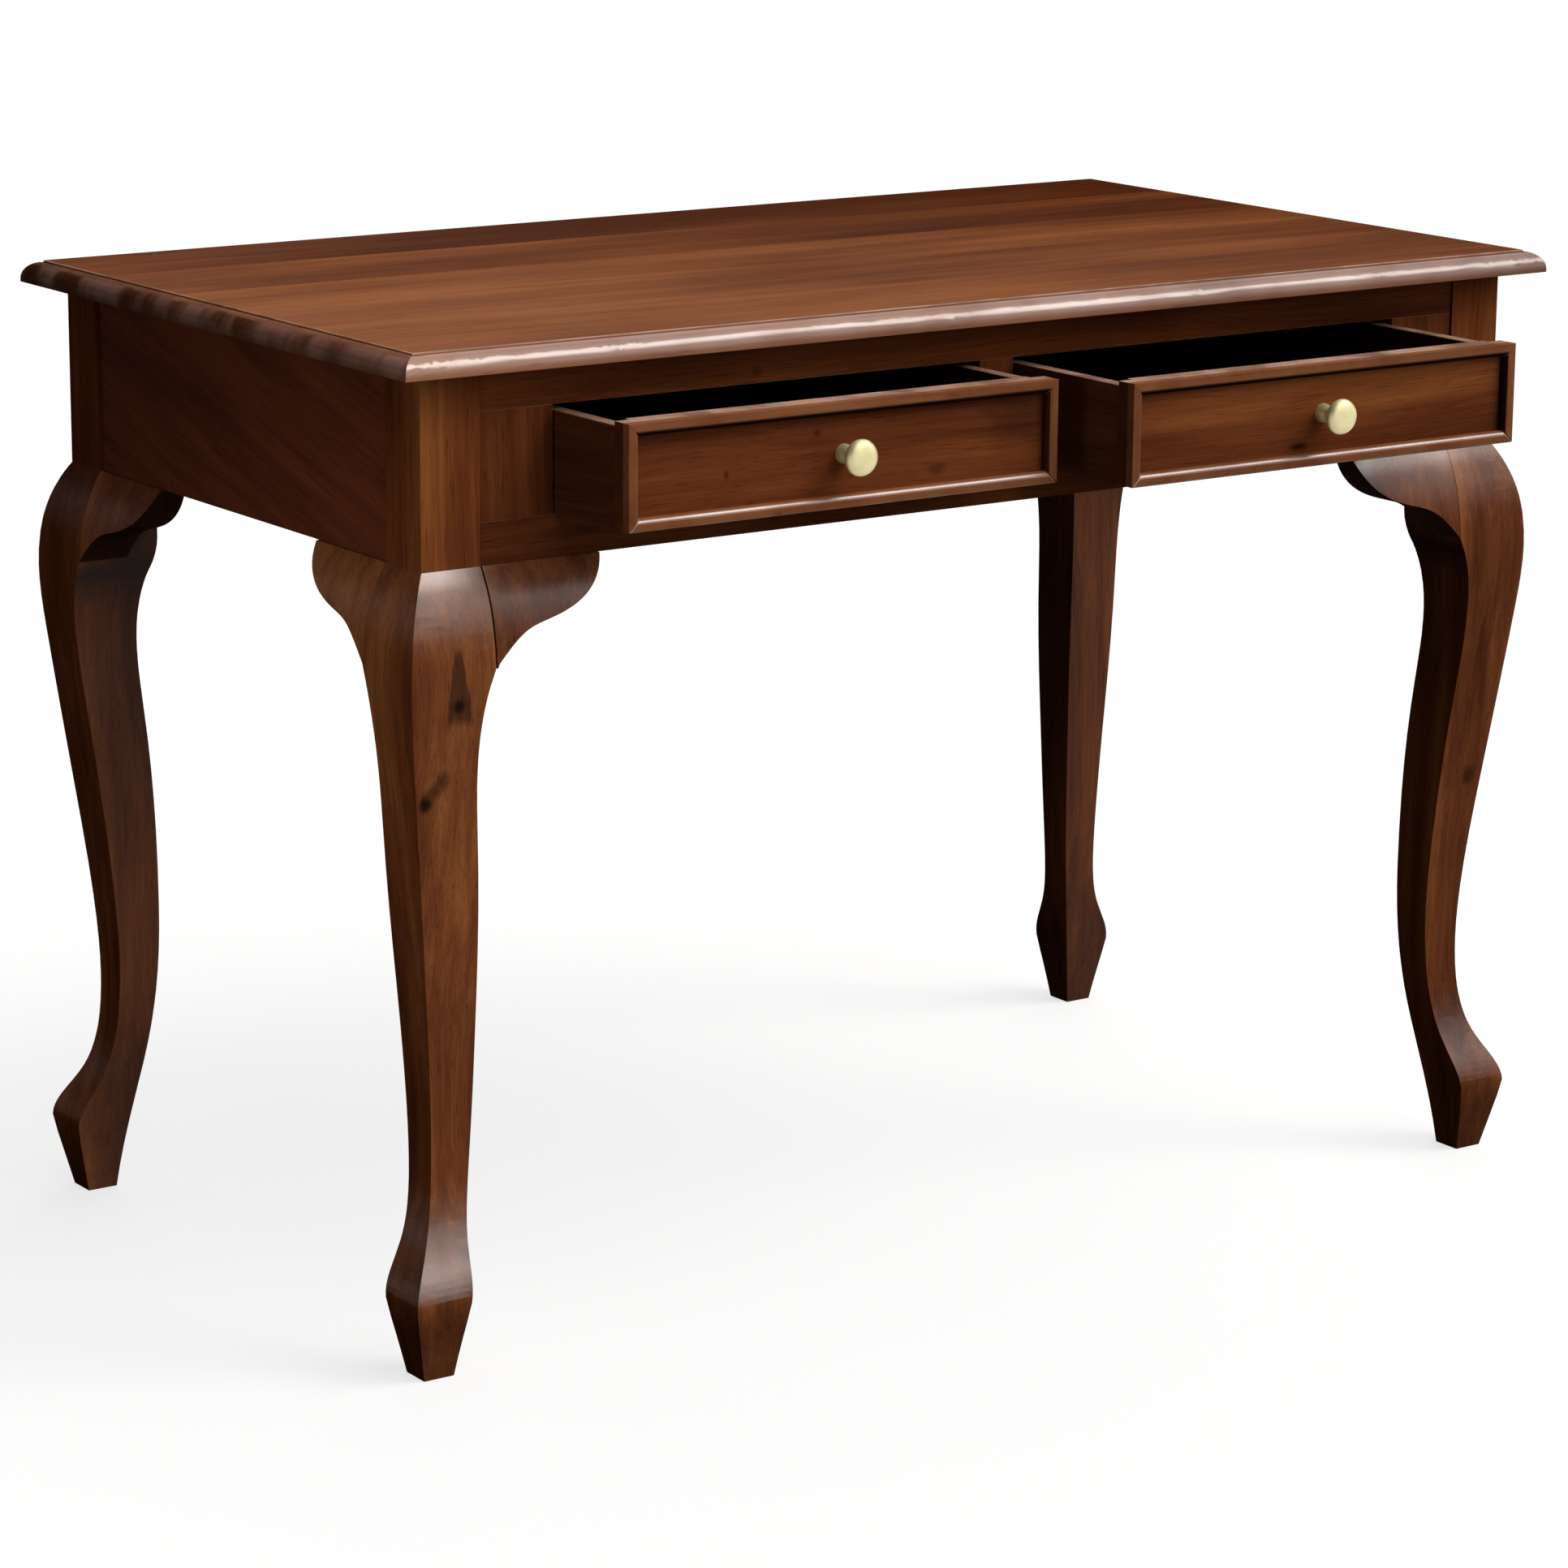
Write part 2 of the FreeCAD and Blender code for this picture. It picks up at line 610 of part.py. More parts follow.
# Knobs: a turned mushroom with a waisted neck, bored for its screw
knob_bore = ("size.screw_diameter / 2 + size.joint_clearance", "-size.screw_bite - size.joint_clearance")
knob_base = ("size.knob_base_diameter / 2", "0")
knob_tip = ("0", "-size.knob_projection")
head_back = "(size.knob_head_height - size.knob_projection)"
head_rim = (f"size.knob_diameter / 2 * {HEAD_SEAT_SHARE}", head_back)
neck_poles = poles(knob_base[0], "size.knob_neck_diameter / 2", NECK_SHARES, "0", head_back)
head_poles = poles("0", "size.knob_diameter / 2", HEAD_SHARES, head_back, knob_tip[1])
knob_edges = [[knob_tip, ("0", knob_bore[1])],
              [("0", knob_bore[1]), knob_bore],
              [knob_bore, (knob_bore[0], "0")],
              [(knob_bore[0], "0"), knob_base],
              [knob_base, *neck_poles, head_rim],
              [head_rim, *head_poles, knob_tip]]


def knob(label, spot):
    """A drawer knob turned about the axis that points to the front."""
    turned, sketch = body(label, "XY", knob_edges)
    spin = turned.newObject("PartDesign::Revolution", f"{label}_turning")
    spin.Profile = sketch
    spin.ReferenceAxis = (sketch, ["V_Axis"])
    spin.Angle = 360
    turned.Tip = spin
    return piece(place(turned, *spot), label)


for hand, sign in HANDS:
    name = f"drawer_{hand}"
    shift = (on_side(sign, drawer_x, drawer_x)[0], f"-size.{hand}_pull")
    seat = (shift[0], f"{board_face} {shift[1]}")
    piece(place(cut(f"{name}_front", front_board, front_tools), *shift), f"{name}_front")
    for side, solids in sides.items():
        piece(place(cut(f"{name}_side_{side}", *solids), *shift), f"{name}_side_{side}")
    piece(box(f"{name}_back", both(housing), back_run, (bottom_high, side_high), shift), f"{name}_back")
    piece(box(f"{name}_bottom", both(f"({housing} - size.joint_clearance)"),
              (f"{board_back} - size.groove_depth + size.joint_clearance", f"{drawer_end} - size.side_tail"),
              (bottom_low, bottom_high), shift), f"{name}_bottom")
    for index, edge in enumerate(("lower", "right", "upper", "left")):
        bead_strip(f"{name}_bead_{edge}", index, seat)
    knob(f"{name}_knob", (*seat, knob_height))
    piece(place(fuse(f"{name}_knob_screw", stud_shank, stud_head), *shift), f"{name}_knob_screw")

doc.recompute()
failed = [item.Label for item in doc.Objects if "Invalid" in item.State or "Error" in item.State]
empty = [item.Label for item in pieces
         if item.Shape.isNull() or not item.Shape.isValid() or not item.Shape.Solids]
if failed or empty:
    raise RuntimeError(f"failed: {failed}, without a valid solid: {empty}")

os.makedirs("parts", exist_ok=True)
whole = FreeCAD.BoundBox()
for item in pieces:
    item.Shape.exportStep(f"parts/{item.Label}.step")
    whole.add(item.Shape.BoundBox)
print(f"{len(pieces)} pieces, {whole.XLength:.1f} x {whole.YLength:.1f} x {whole.ZLength:.1f} mm")
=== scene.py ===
"""Finishes, eased edges and studio for the two-drawer writing desk, in metres in the desk's own frame."""
import json
import math

import bpy
from mathutils import Matrix, Vector

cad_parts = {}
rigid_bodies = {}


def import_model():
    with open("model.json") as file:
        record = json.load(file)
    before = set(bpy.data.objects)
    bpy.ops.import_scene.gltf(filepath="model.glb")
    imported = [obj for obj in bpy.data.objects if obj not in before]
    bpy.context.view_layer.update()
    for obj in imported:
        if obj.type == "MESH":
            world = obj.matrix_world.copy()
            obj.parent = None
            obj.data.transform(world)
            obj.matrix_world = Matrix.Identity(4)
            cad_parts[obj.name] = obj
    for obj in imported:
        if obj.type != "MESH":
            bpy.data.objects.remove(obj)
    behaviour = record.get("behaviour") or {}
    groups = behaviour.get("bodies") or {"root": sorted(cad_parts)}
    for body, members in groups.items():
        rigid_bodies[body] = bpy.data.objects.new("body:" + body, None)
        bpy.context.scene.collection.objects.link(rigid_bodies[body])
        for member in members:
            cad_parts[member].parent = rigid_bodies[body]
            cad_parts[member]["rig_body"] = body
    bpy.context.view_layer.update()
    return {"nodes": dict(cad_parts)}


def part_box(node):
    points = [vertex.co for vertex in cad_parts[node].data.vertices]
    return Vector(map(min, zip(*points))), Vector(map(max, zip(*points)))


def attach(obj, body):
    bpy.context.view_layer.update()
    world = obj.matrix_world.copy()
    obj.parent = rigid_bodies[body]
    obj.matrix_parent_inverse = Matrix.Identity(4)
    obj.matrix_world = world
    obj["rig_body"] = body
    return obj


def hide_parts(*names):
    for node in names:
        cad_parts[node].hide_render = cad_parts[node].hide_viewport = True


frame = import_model()
nodes = frame["nodes"]
MM = 0.001

# The photograph's view: a long lens from the left, above the top
PHOTO_PIXELS = 1932
FOCAL_PIXELS = 6185.5
SENSOR_WIDTH = 36
CAMERA_PLACE = (-2.34864, -3.35992, 1.32749)
CAMERA_TURN = math.radians(-34.8748)
CAMERA_TILT = math.radians(76.3731)
CAMERA_ROLL = math.radians(0.4489)

# Studio floor, backdrop and room
WHITE = (1, 1, 1)
BLACK = (0, 0, 0)
FLOOR_HALF = 60
FLOOR_PALE = (0.3, 0.3, 0.3)
FLOOR_BOUNCE = (0.09, 0.086, 0.082)
FLOOR_GLOW = 0.72
BACKDROP_PALE = BLACK
BACKDROP_GLOW = 1.0
BACKDROP_HIGH = 12
BACKDROP_SIDES = 96
ROOM_LIGHT = 0.06

# Far lamps: the direction each shines from, strength, spread in degrees, colour, and whether gloss shows it
FAR_LAMPS = {
    "sky_front": ((0.42, -0.62, 0.66), 2.3, 90, WHITE, True),
    "window": ((0.56, -0.45, 0.7), 1.3, 28, (1, 0.93, 0.88), True),
    "skylight": ((0.57, 0.45, 0.68), 0.7, 50, (1, 0.96, 0.93), True),
    "sky_behind": ((0.2, 0.8, 0.55), 0.5, 90, WHITE, False),
}

# A soft lamp near the left side
FILL_PLACE = (-1.35, -0.65, 0.45)
FILL_AIM = (-0.52, -0.2, 0.5)
FILL_WATTS = 13
FILL_RADIUS = 0.3
FILL_CONE = math.radians(50)

# Stains from dark grain to bright grain, in linear colour
STAIN_PLACES = (0.12, 0.42, 0.66, 0.95)
FRAME_STAIN = ((0.03, 0.0075, 0.0035), (0.095, 0.0245, 0.0078), (0.16, 0.044, 0.0135), (0.27, 0.09, 0.026))
APRON_STAIN = ((0.028, 0.006, 0.0035), (0.09, 0.02, 0.008), (0.155, 0.038, 0.0145), (0.26, 0.08, 0.028))
LEG_STAIN = ((0.027, 0.0078, 0.0038), (0.09, 0.0252, 0.0095), (0.163, 0.049, 0.0165), (0.285, 0.098, 0.032))
TOP_STAIN = ((0.07, 0.018, 0.006), (0.15, 0.044, 0.0135), (0.24, 0.078, 0.025), (0.31, 0.115, 0.04))
LINING_STAIN = ((0.02, 0.006, 0.003), (0.055, 0.0155, 0.007), (0.09, 0.028, 0.0115), (0.13, 0.045, 0.019))
BARE_STAIN = ((0.12, 0.06, 0.025), (0.22, 0.12, 0.055), (0.32, 0.19, 0.095), (0.42, 0.27, 0.14))
KNOT_AND_SHADE_PATCH_COLOUR = (0.0065, 0.0035, 0.004)
FLAME_COLOUR = (0.03, 0.0125, 0.0075)
PORE_COLOUR = (0.006, 0.002, 0.0015)
END_GRAIN_COLOUR = (0.042, 0.0135, 0.008)
# A pale pinkish colour painted as sheen on the end faces
END_PAINTED_SHEEN_COLOUR = (0.32, 0.16, 0.125)
# A dark colour painted as shade on faces that look down and on the legs' inner faces
PAINTED_SHADE_COLOUR = (0.014, 0.0055, 0.004)
RUBBED_COLOUR = (0.3, 0.135, 0.07)
# Pale colour for edges and up faces: partly wear, partly painted highlight
PALE_WEAR_AND_HIGHLIGHT_COLOUR = (0.46, 0.29, 0.205)

# Which way a mapping turns so that its X runs along the grain
APRON_SLANT = math.radians(-17)
GRAIN_TURN = {
    "x": (0, 0, 0),
    "y": (0, 0, -math.pi / 2),
    "y slanting": (APRON_SLANT, 0, -math.pi / 2),
    "z": (0, math.pi / 2, 0),
}

# Wood patterns: repeats per metre along the grain, and across it both ways
SWAY_PITCH = (1.7, 5, 5)
CLOUD_PITCH = (3, 10, 10)
FIGURE_PITCH = (1.3, 15, 15)
STREAK_PITCH = (2.3, 85, 85)
FIBRE_PITCH = (16, 480, 480)
PORE_PITCH = (30, 1150, 1150)
KNOT_PITCH = (45, 170, 170)

# How far boards lie apart in the pattern, how far the grain sways, a noise's middle, and what each adds
SEED_STEP = (0.713, 0.377, 0.531)
SWAY_REACH = (0, 0.04, 0.04)
MIDDLE = 0.5
TONE_WEIGHTS = {"cloud": 0.9, "figure": 0.8, "streak": 0.6, "fibre": 0.25}
RELIEF_WEIGHTS = {"fibre": 0.5, "streak": 0.6, "pore": -0.8}
RELIEF_STRENGTH = 0.14
RELIEF_DEPTH = 0.4 * MM
PORE_CUT = (0.6, 0.74)
PORE_SHARE = 0.45
PORE_ROUGHNESS = 0.12

# Patches of wear and of the pale painted highlights, polish and smears: repeats per metre, and where a
# patch starts and is full
WEAR_PITCH = (23, 23, 23)
WEAR_CUT = (0.36, 0.62)
WEAR_LEAST = 0.4
WEAR_GAIN = 0.6
POLISH_PITCH = (16, 16, 16)
POLISH_CUT = (0.3, 0.6)
POLISH_LEAST = 0.7
POLISH_GAIN = 0.3
SMEAR_PITCH = (9, 9, 9)
SMEAR_ROUGHNESS = 0.16

# Lacquer by the tilt of a face: level and left faces are dull, and under faces get a painted shade
COAT_ROUGHNESS = 0.25
COAT_IOR = 1.9
LEVEL_TILT = (0.96, 0.995)
LEVEL_MATT = 0.96
FADED_MATT = 0.965
FADED_MATT_DRIFT = (0.06, 0.09, 0)
LEFT_TILT = (-0.25, -0.6)
LEFT_MATT = 0.8
UNDER_TILT = (-0.05, -0.4)
UNDER_SHADE_SHARE = 0.85

# End grain of the top and the drawer fronts, with patches of painted sheen and more of it towards the front
# left
END_TILT = (0.3, 0.6)
END_GRAIN_SHARE = 0.8
# The painted sheen takes back part of the end grain's darkness
END_GRAIN_LOSS = 0.35
PAINTED_SHEEN_PITCH = (5, 26, 12)
PAINTED_SHEEN_CUT = (0.42, 0.64)
PAINTED_SHEEN_PATCHES = 0.7
PAINTED_SHEEN_FRONT_PLACE = (-0.08, -0.3)
PAINTED_SHEEN_FRONT = 0.45
PAINTED_SHEEN_RIGHT_TILT = (-0.1, 0.3)
PAINTED_SHEEN_RIGHT_LOSS = 0.6
PAINTED_SHEEN_UP_TILT = (0.1, 0.6)
PAINTED_SHEEN_SHARE = 0.85
PAINTED_SHEEN_GLOSS = 0.16

# Legs: the post takes the frame's stain, left faces keep part of it as a painted shade, and inner faces get
# a painted shade that grows with height
POST_HEIGHT = (0.59, 0.625)
# Left faces below the post keep part of the post's stain as painted shade
POST_LEFT_TILT = (-0.3, -0.7)
POST_LEFT_SHADE_SHARE = 0.6
# Painted shade on the legs' inner faces, under the desk
INNER_TILT = (-0.1, -0.4)
INNER_HEIGHT = (0.15, 0.45)
INNER_LEAST = 0.1
INNER_GAIN = 0.45
FRONT_TILT = (-0.3, -0.8)

# Knots: a round one's rim, and a lengthwise one's tip, sides, rims and ragged edges, as shares of its size
EYE_RIM = (0.7, 1.6)
FLAME_TIP_SHARE = 0.2
FLAME_TOP = (-0.05, 0.12)
FLAME_BOTTOM = (0.92, 1.1)
FLAME_DEEP = (0.02, 0.03)
FLAME_SIDE = (0.65, 1.3)
FLAME_DARK = 0.72
FLAME_RIM_IN = (0.55, 0.9)
FLAME_RIM_OUT = (0.95, 1.3)
FLAME_RIM_DARK = 0.2
FLAME_RAGGED_FALL = 0.2
FLAME_RAGGED_SIDE = 1.1

# Metals: colours by patch, and patches and turning lines with repeats per metre
BRASS_STOPS = ((0.25, (0.73, 0.64, 0.33)), (0.5, (0.8, 0.72, 0.4)), (0.75, (0.85, 0.78, 0.46)))
BRASS_PATCH_PITCH = (160, 160, 160)
BRASS_LINE_PITCH = (1400, 260, 1400)
BRASS_METAL = 0.7
BRASS_ROUGHNESS = 0.46
BRASS_PATCH_ROUGHNESS = 0.16
BRASS_LINE_ROUGHNESS = 0.12
BRASS_LINE_STRENGTH = 0.1
BRASS_LINE_DEPTH = 0.1 * MM
STEEL_STOPS = ((0.3, (0.3, 0.29, 0.28)), (0.7, (0.56, 0.55, 0.53)))
STEEL_FILM_PITCH = (420, 420, 420)
STEEL_ROUGHNESS = 0.3
STEEL_FILM_ROUGHNESS = 0.3

# Sockets of a mix of colours
MIX_SHARE = 0
MIX_FIRST = 6
MIX_SECOND = 7
MIX_RESULT = 2


class Wire:
    """An output of a material's node; arithmetic on it adds Math nodes."""

    def __init__(self, finish, socket):
        self.finish = finish
        self.socket = socket

    def then(self, operation, *others):
        return self.finish.sum(operation, self, *others)

    def __add__(self, other):
        return self.then("ADD", other)

    def __radd__(self, other):
        return self.then("ADD", other)

    def __sub__(self, other):
        return self.then("SUBTRACT", other)

    def __rsub__(self, other):
        return self.finish.sum("SUBTRACT", other, self)

    def __mul__(self, other):
        return self.then("MULTIPLY", other)

    def __rmul__(self, other):
        return self.then("MULTIPLY", other)

    def __truediv__(self, other):
        return self.then("DIVIDE", other)

    def __abs__(self):
        return self.then("ABSOLUTE")

    def ramped(self, start, full):
        """Zero before start, one past full, and smooth between them."""
        ends = {"Value": self, "From Min": start, "From Max": full}
        return self.finish.node("ShaderNodeMapRange", {"interpolation_type": "SMOOTHSTEP"}, ends)


class Finish:
    """A material with its Principled shader, built node by node."""

    def __init__(self, name):
        self.material = bpy.data.materials.new(name)
        self.material.use_nodes = True
        self.tree = self.material.node_tree
        self.shader = self.tree.nodes["Principled BSDF"]

    def node(self, kind, settings=None, sockets=None, out=0):
        """Adds a node: its settings first, then the values or links of its sockets."""
        made = self.tree.nodes.new(kind)
        for key, value in (settings or {}).items():
            if key == "stops":
                self.set_stops(made.color_ramp, value)
            else:
                setattr(made, key, value)
        for key, value in (sockets or {}).items():
            self.feed(made.inputs[key], value)
        return Wire(self, made.outputs[out])

    def set_stops(self, ramp, stops):
        while len(ramp.elements) < len(stops):
            ramp.elements.new(1)
        for element, (place, colour) in zip(ramp.elements, stops):
            element.position = place
            element.color = (*colour, 1)

    def feed(self, socket, value):
        if isinstance(value, Wire):
            self.tree.links.new(value.socket, socket)
        elif socket.type == "RGBA":
            socket.default_value = (*value, 1)
        else:
            socket.default_value = value

    def surface(self, **sockets):
        """Sets the shader's sockets, named with underscores for spaces."""
        for key, value in sockets.items():
            self.feed(self.shader.inputs[key.replace("_", " ")], value)
        return self.material

    def sum(self, operation, *terms):
        return self.node("ShaderNodeMath", {"operation": operation}, dict(enumerate(terms)))

    def vector(self, operation, *terms, out=0):
        return self.node("ShaderNodeVectorMath", {"operation": operation}, dict(enumerate(terms)), out)

    def along(self, vector, way):
        """How far a vector reaches along a way."""
        return self.vector("DOT_PRODUCT", vector, way, out="Value")

    def axis(self, vector, letter):
        """The X, Y or Z of a vector."""
        return self.node("ShaderNodeSeparateXYZ", {}, {"Vector": vector}, letter)

    def place(self):
        return self.node("ShaderNodeTexCoord", out="Object")

    def noise(self, place, pitch, detail=2, roughness=0.5, out=0):
        """Noise on coordinates that are multiplied by a pitch first, so a small one draws it out."""
        spread = self.vector("MULTIPLY", place, pitch)
        sockets = {"Vector": spread, "Scale": 1, "Detail": detail, "Roughness": roughness}
        return self.node("ShaderNodeTexNoise", {}, sockets, out)

    def ramp(self, level, stops):
        return self.node("ShaderNodeValToRGB", {"stops": stops}, {"Fac": level})

    def stained(self, level, stain):
        """A stain's colour at a tone of the grain."""
        return self.ramp(level, tuple(zip(STAIN_PLACES, stain)))

    def mix(self, share, first, second):
        """A colour part of the way from the first to the second."""
        sockets = {MIX_SHARE: share, MIX_FIRST: first, MIX_SECOND: second}
        return self.node("ShaderNodeMix", {"data_type": "RGBA"}, sockets, MIX_RESULT)

    def bump(self, height, strength, depth):
        sockets = {"Strength": strength, "Distance": depth, "Height": height}
        return self.node("ShaderNodeBump", {}, sockets)


def grain_patterns(finish, place, grain, seed):
    """Coordinates that run along a board's grain, and the patterns of its wood."""
    shift = [step * seed for step in SEED_STEP]
    turned = {"Vector": place, "Rotation": GRAIN_TURN[grain], "Location": shift}
    board = finish.node("ShaderNodeMapping", {"vector_type": "POINT"}, turned)
    sway = finish.noise(board, SWAY_PITCH, out="Color")
    bent = finish.vector("MULTIPLY_ADD", sway, SWAY_REACH, board)
    patterns = {
        "cloud": finish.noise(board, CLOUD_PITCH),
        "figure": finish.noise(bent, FIGURE_PITCH, detail=3),
        "streak": finish.noise(bent, STREAK_PITCH, detail=4, roughness=0.6),
        "fibre": finish.noise(bent, FIBRE_PITCH),
        "pore": finish.noise(bent, PORE_PITCH, detail=1).ramped(*PORE_CUT),
    }
    return board, patterns


def add_dark_spot(finish, colour, place, ragged, spot, reach, depth):
    """A round dark mark, dark in the middle and ragged at its rim: a knot, and once a patch of painted
    shade.
    """
    away = finish.vector("DIVIDE", finish.vector("SUBTRACT", place, spot), reach)
    far = finish.vector("LENGTH", away, out="Value") + ragged
    return finish.mix(depth - far.ramped(*EYE_RIM) * depth, colour, KNOT_AND_SHADE_PATCH_COLOUR)


def add_flame(finish, colour, place, ragged, tip, height, half_width):
    """A knot cut lengthwise: a dark wedge, darker at its rims, that widens downwards from its tip."""
    away = finish.vector("SUBTRACT", place, tip)
    x, y, z = [finish.axis(away, letter) for letter in "XYZ"]
    fall = z / -height + (ragged - MIDDLE) * FLAME_RAGGED_FALL
    reach = (fall * (1 - FLAME_TIP_SHARE) + FLAME_TIP_SHARE) * half_width
    across = abs(x) / reach + (ragged - MIDDLE) * FLAME_RAGGED_SIDE
    within = fall.ramped(*FLAME_TOP) * (1 - fall.ramped(*FLAME_BOTTOM)) * (1 - abs(y).ramped(*FLAME_DEEP))
    rim = across.ramped(*FLAME_RIM_IN) * (1 - across.ramped(*FLAME_RIM_OUT))
    wedge = (1 - across.ramped(*FLAME_SIDE)) * FLAME_DARK + rim * FLAME_RIM_DARK
    return finish.mix(wedge * within, colour, FLAME_COLOUR)


def add_end_grain_and_painted_sheen(finish, colour, gloss, place, sideways, upward):
    """Dark end grain on left and right faces, with patches of painted sheen where they tilt up; gives the
    colour and the gloss.
    """
    end = abs(sideways).ramped(*END_TILT)
    painted_sheen = finish.noise(place, PAINTED_SHEEN_PITCH, detail=3).ramped(*PAINTED_SHEEN_CUT) * PAINTED_SHEEN_PATCHES
    painted_sheen = painted_sheen + finish.axis(place, "Y").ramped(*PAINTED_SHEEN_FRONT_PLACE) * PAINTED_SHEEN_FRONT
    painted_sheen = painted_sheen * (1 - PAINTED_SHEEN_RIGHT_LOSS * sideways.ramped(*PAINTED_SHEEN_RIGHT_TILT))
    colour = finish.mix(end * (END_GRAIN_SHARE - painted_sheen * END_GRAIN_LOSS), colour, END_GRAIN_COLOUR)
    # Painted sheen: pale patches on end faces that tilt up
    colour = finish.mix(end * painted_sheen * upward.ramped(*PAINTED_SHEEN_UP_TILT) * PAINTED_SHEEN_SHARE, colour, END_PAINTED_SHEEN_COLOUR)
    return colour, gloss * (1 - end * (1 - painted_sheen * PAINTED_SHEEN_GLOSS))


def wood(name, grain, seed, stain=FRAME_STAIN, tone=0.0, coat=0.8, roughness=0.42, contrast=1.0,
         dark_spots=(), flames=(), rubbed=0.0, pale=RUBBED_COLOUR, ends=False, shine=(0.2, 0.6), sheen=0.01,
         painted_shade_slope=None, post=None):
    """Stained wood with figure, streaks, fibres and pores along its grain, lacquered where it faces up.

    Painted shade slope is how fast the tone falls along X, Y and Z, a painted shade that darkens one side.
    Post is how much brighter than the leg its post is.
    """
    finish = Finish(name)
    place = finish.place()
    board, patterns = grain_patterns(finish, place, grain, seed)
    level = sum((patterns[key] - MIDDLE) * weight for key, weight in TONE_WEIGHTS.items())
    level = level * contrast + (MIDDLE + tone)
    normal = finish.node("ShaderNodeNewGeometry", out="Normal")
    sideways, forwards, upward = [finish.axis(normal, letter) for letter in "XYZ"]
    matt = LEVEL_MATT
    if painted_shade_slope is not None:
        # Painted shade: the tone falls along a slope
        level = level - finish.along(place, painted_shade_slope)
        matt = finish.along(place, FADED_MATT_DRIFT) + FADED_MATT
    colour = finish.stained(level, stain)
    if post is not None:
        height = finish.axis(place, "Z")
        below_post = 1 - height.ramped(*POST_HEIGHT)
        # Painted shade: left faces keep part of the post's redder stain
        leg_share = below_post * (1 - POST_LEFT_SHADE_SHARE * sideways.ramped(*POST_LEFT_TILT))
        colour = finish.mix(leg_share, finish.stained(level + post, FRAME_STAIN), colour)
    colour = finish.mix(patterns["pore"] * PORE_SHARE, colour, PORE_COLOUR)
    if dark_spots or flames:
        ragged = finish.noise(board, KNOT_PITCH, detail=3)
        for flame in flames:
            colour = add_flame(finish, colour, place, ragged, *flame)
        for eye in dark_spots:
            colour = add_dark_spot(finish, colour, place, ragged, *eye)
    # A pale mix in patches: wear, and painted highlight too where the pale wear-and-highlight colour is
    # used
    if rubbed:
        wear = finish.noise(place, WEAR_PITCH, detail=4, roughness=0.6).ramped(*WEAR_CUT)
        colour = finish.mix((wear * WEAR_GAIN + WEAR_LEAST) * rubbed, colour, pale)
    # Painted shade: faces that look down are darkened
    colour = finish.mix(upward.ramped(*UNDER_TILT) * UNDER_SHADE_SHARE, colour, PAINTED_SHADE_COLOUR)
    polish = finish.noise(place, POLISH_PITCH).ramped(*POLISH_CUT)
    gloss = upward.ramped(*shine) * (1 - matt * upward.ramped(*LEVEL_TILT))
    gloss = gloss * (POLISH_LEAST + polish * POLISH_GAIN)
    if ends:
        colour, gloss = add_end_grain_and_painted_sheen(finish, colour, gloss, place, sideways, upward)
    else:
        gloss = gloss * (1 - LEFT_MATT * sideways.ramped(*LEFT_TILT))
    if post is not None:
        # Painted shade: inner faces darken, more towards the top
        inner = (sideways * finish.axis(place, "X")).ramped(*INNER_TILT)
        shade = inner * (INNER_LEAST + height.ramped(*INNER_HEIGHT) * INNER_GAIN)
        colour = finish.mix(shade, colour, PAINTED_SHADE_COLOUR)
        gloss = gloss + below_post * forwards.ramped(*FRONT_TILT) * sheen
    else:
        gloss = gloss + sheen
    smear = finish.noise(place, SMEAR_PITCH, detail=3)
    relief = sum(patterns[key] * weight for key, weight in RELIEF_WEIGHTS.items())
    return finish.surface(
        Base_Color=colour,
        Roughness=roughness + (smear - MIDDLE) * SMEAR_ROUGHNESS + patterns["pore"] * PORE_ROUGHNESS,
        Coat_Weight=gloss * coat,
        Coat_Roughness=COAT_ROUGHNESS,
        Coat_IOR=COAT_IOR,
        Specular_IOR_Level=0.0,
        Normal=finish.bump(relief, RELIEF_STRENGTH, RELIEF_DEPTH),
    )


def brass(name):
    """Aged satin brass: fine turning lines and dull patches."""
    finish = Finish(name)
    place = finish.place()
    patch = finish.noise(place, BRASS_PATCH_PITCH, detail=4, roughness=0.6)
    line = finish.noise(place, BRASS_LINE_PITCH)
    uneven = (patch - MIDDLE) * BRASS_PATCH_ROUGHNESS + (line - MIDDLE) * BRASS_LINE_ROUGHNESS
    return finish.surface(
        Base_Color=finish.ramp(patch, BRASS_STOPS),
        Metallic=BRASS_METAL,
        Roughness=BRASS_ROUGHNESS + uneven,
        Normal=finish.bump(line, BRASS_LINE_STRENGTH, BRASS_LINE_DEPTH),
    )


def steel(name):
    """Plain screw steel with a dull grey film."""
    finish = Finish(name)
    film = finish.noise(finish.place(), STEEL_FILM_PITCH, detail=3)
    return finish.surface(
        Base_Color=finish.ramp(film, STEEL_STOPS),
        Metallic=1.0,
        Roughness=STEEL_ROUGHNESS + film * STEEL_FILM_ROUGHNESS,
    )


def only(thing):
    """Selects one object alone and makes it active."""
    bpy.ops.object.select_all(action="DESELECT")
    thing.select_set(True)
    bpy.context.view_layer.objects.active = thing


def dress(piece, *finishes):
    """Puts materials in a piece's slots."""
    piece.data.materials.clear()
    for finish in finishes:
        piece.data.materials.append(finish)


# Edges: where faces turn enough to be rounded or kept sharp, and the slots that finishes go in
SHARP = math.radians(28)
SMOOTH = math.radians(38)
FLAT = math.radians(0.05)
WELD = 0.002 * MM
BODY_SLOT = 0
EDGE_SLOT = 1
FACING_SLOT = 2
FACING_TURN = 0.45
UP = Vector((0, 0, 1))
DOWN = Vector((0, 0, -1))
LEFT = Vector((-1, 0, 0))
RIGHT = Vector((1, 0, 0))


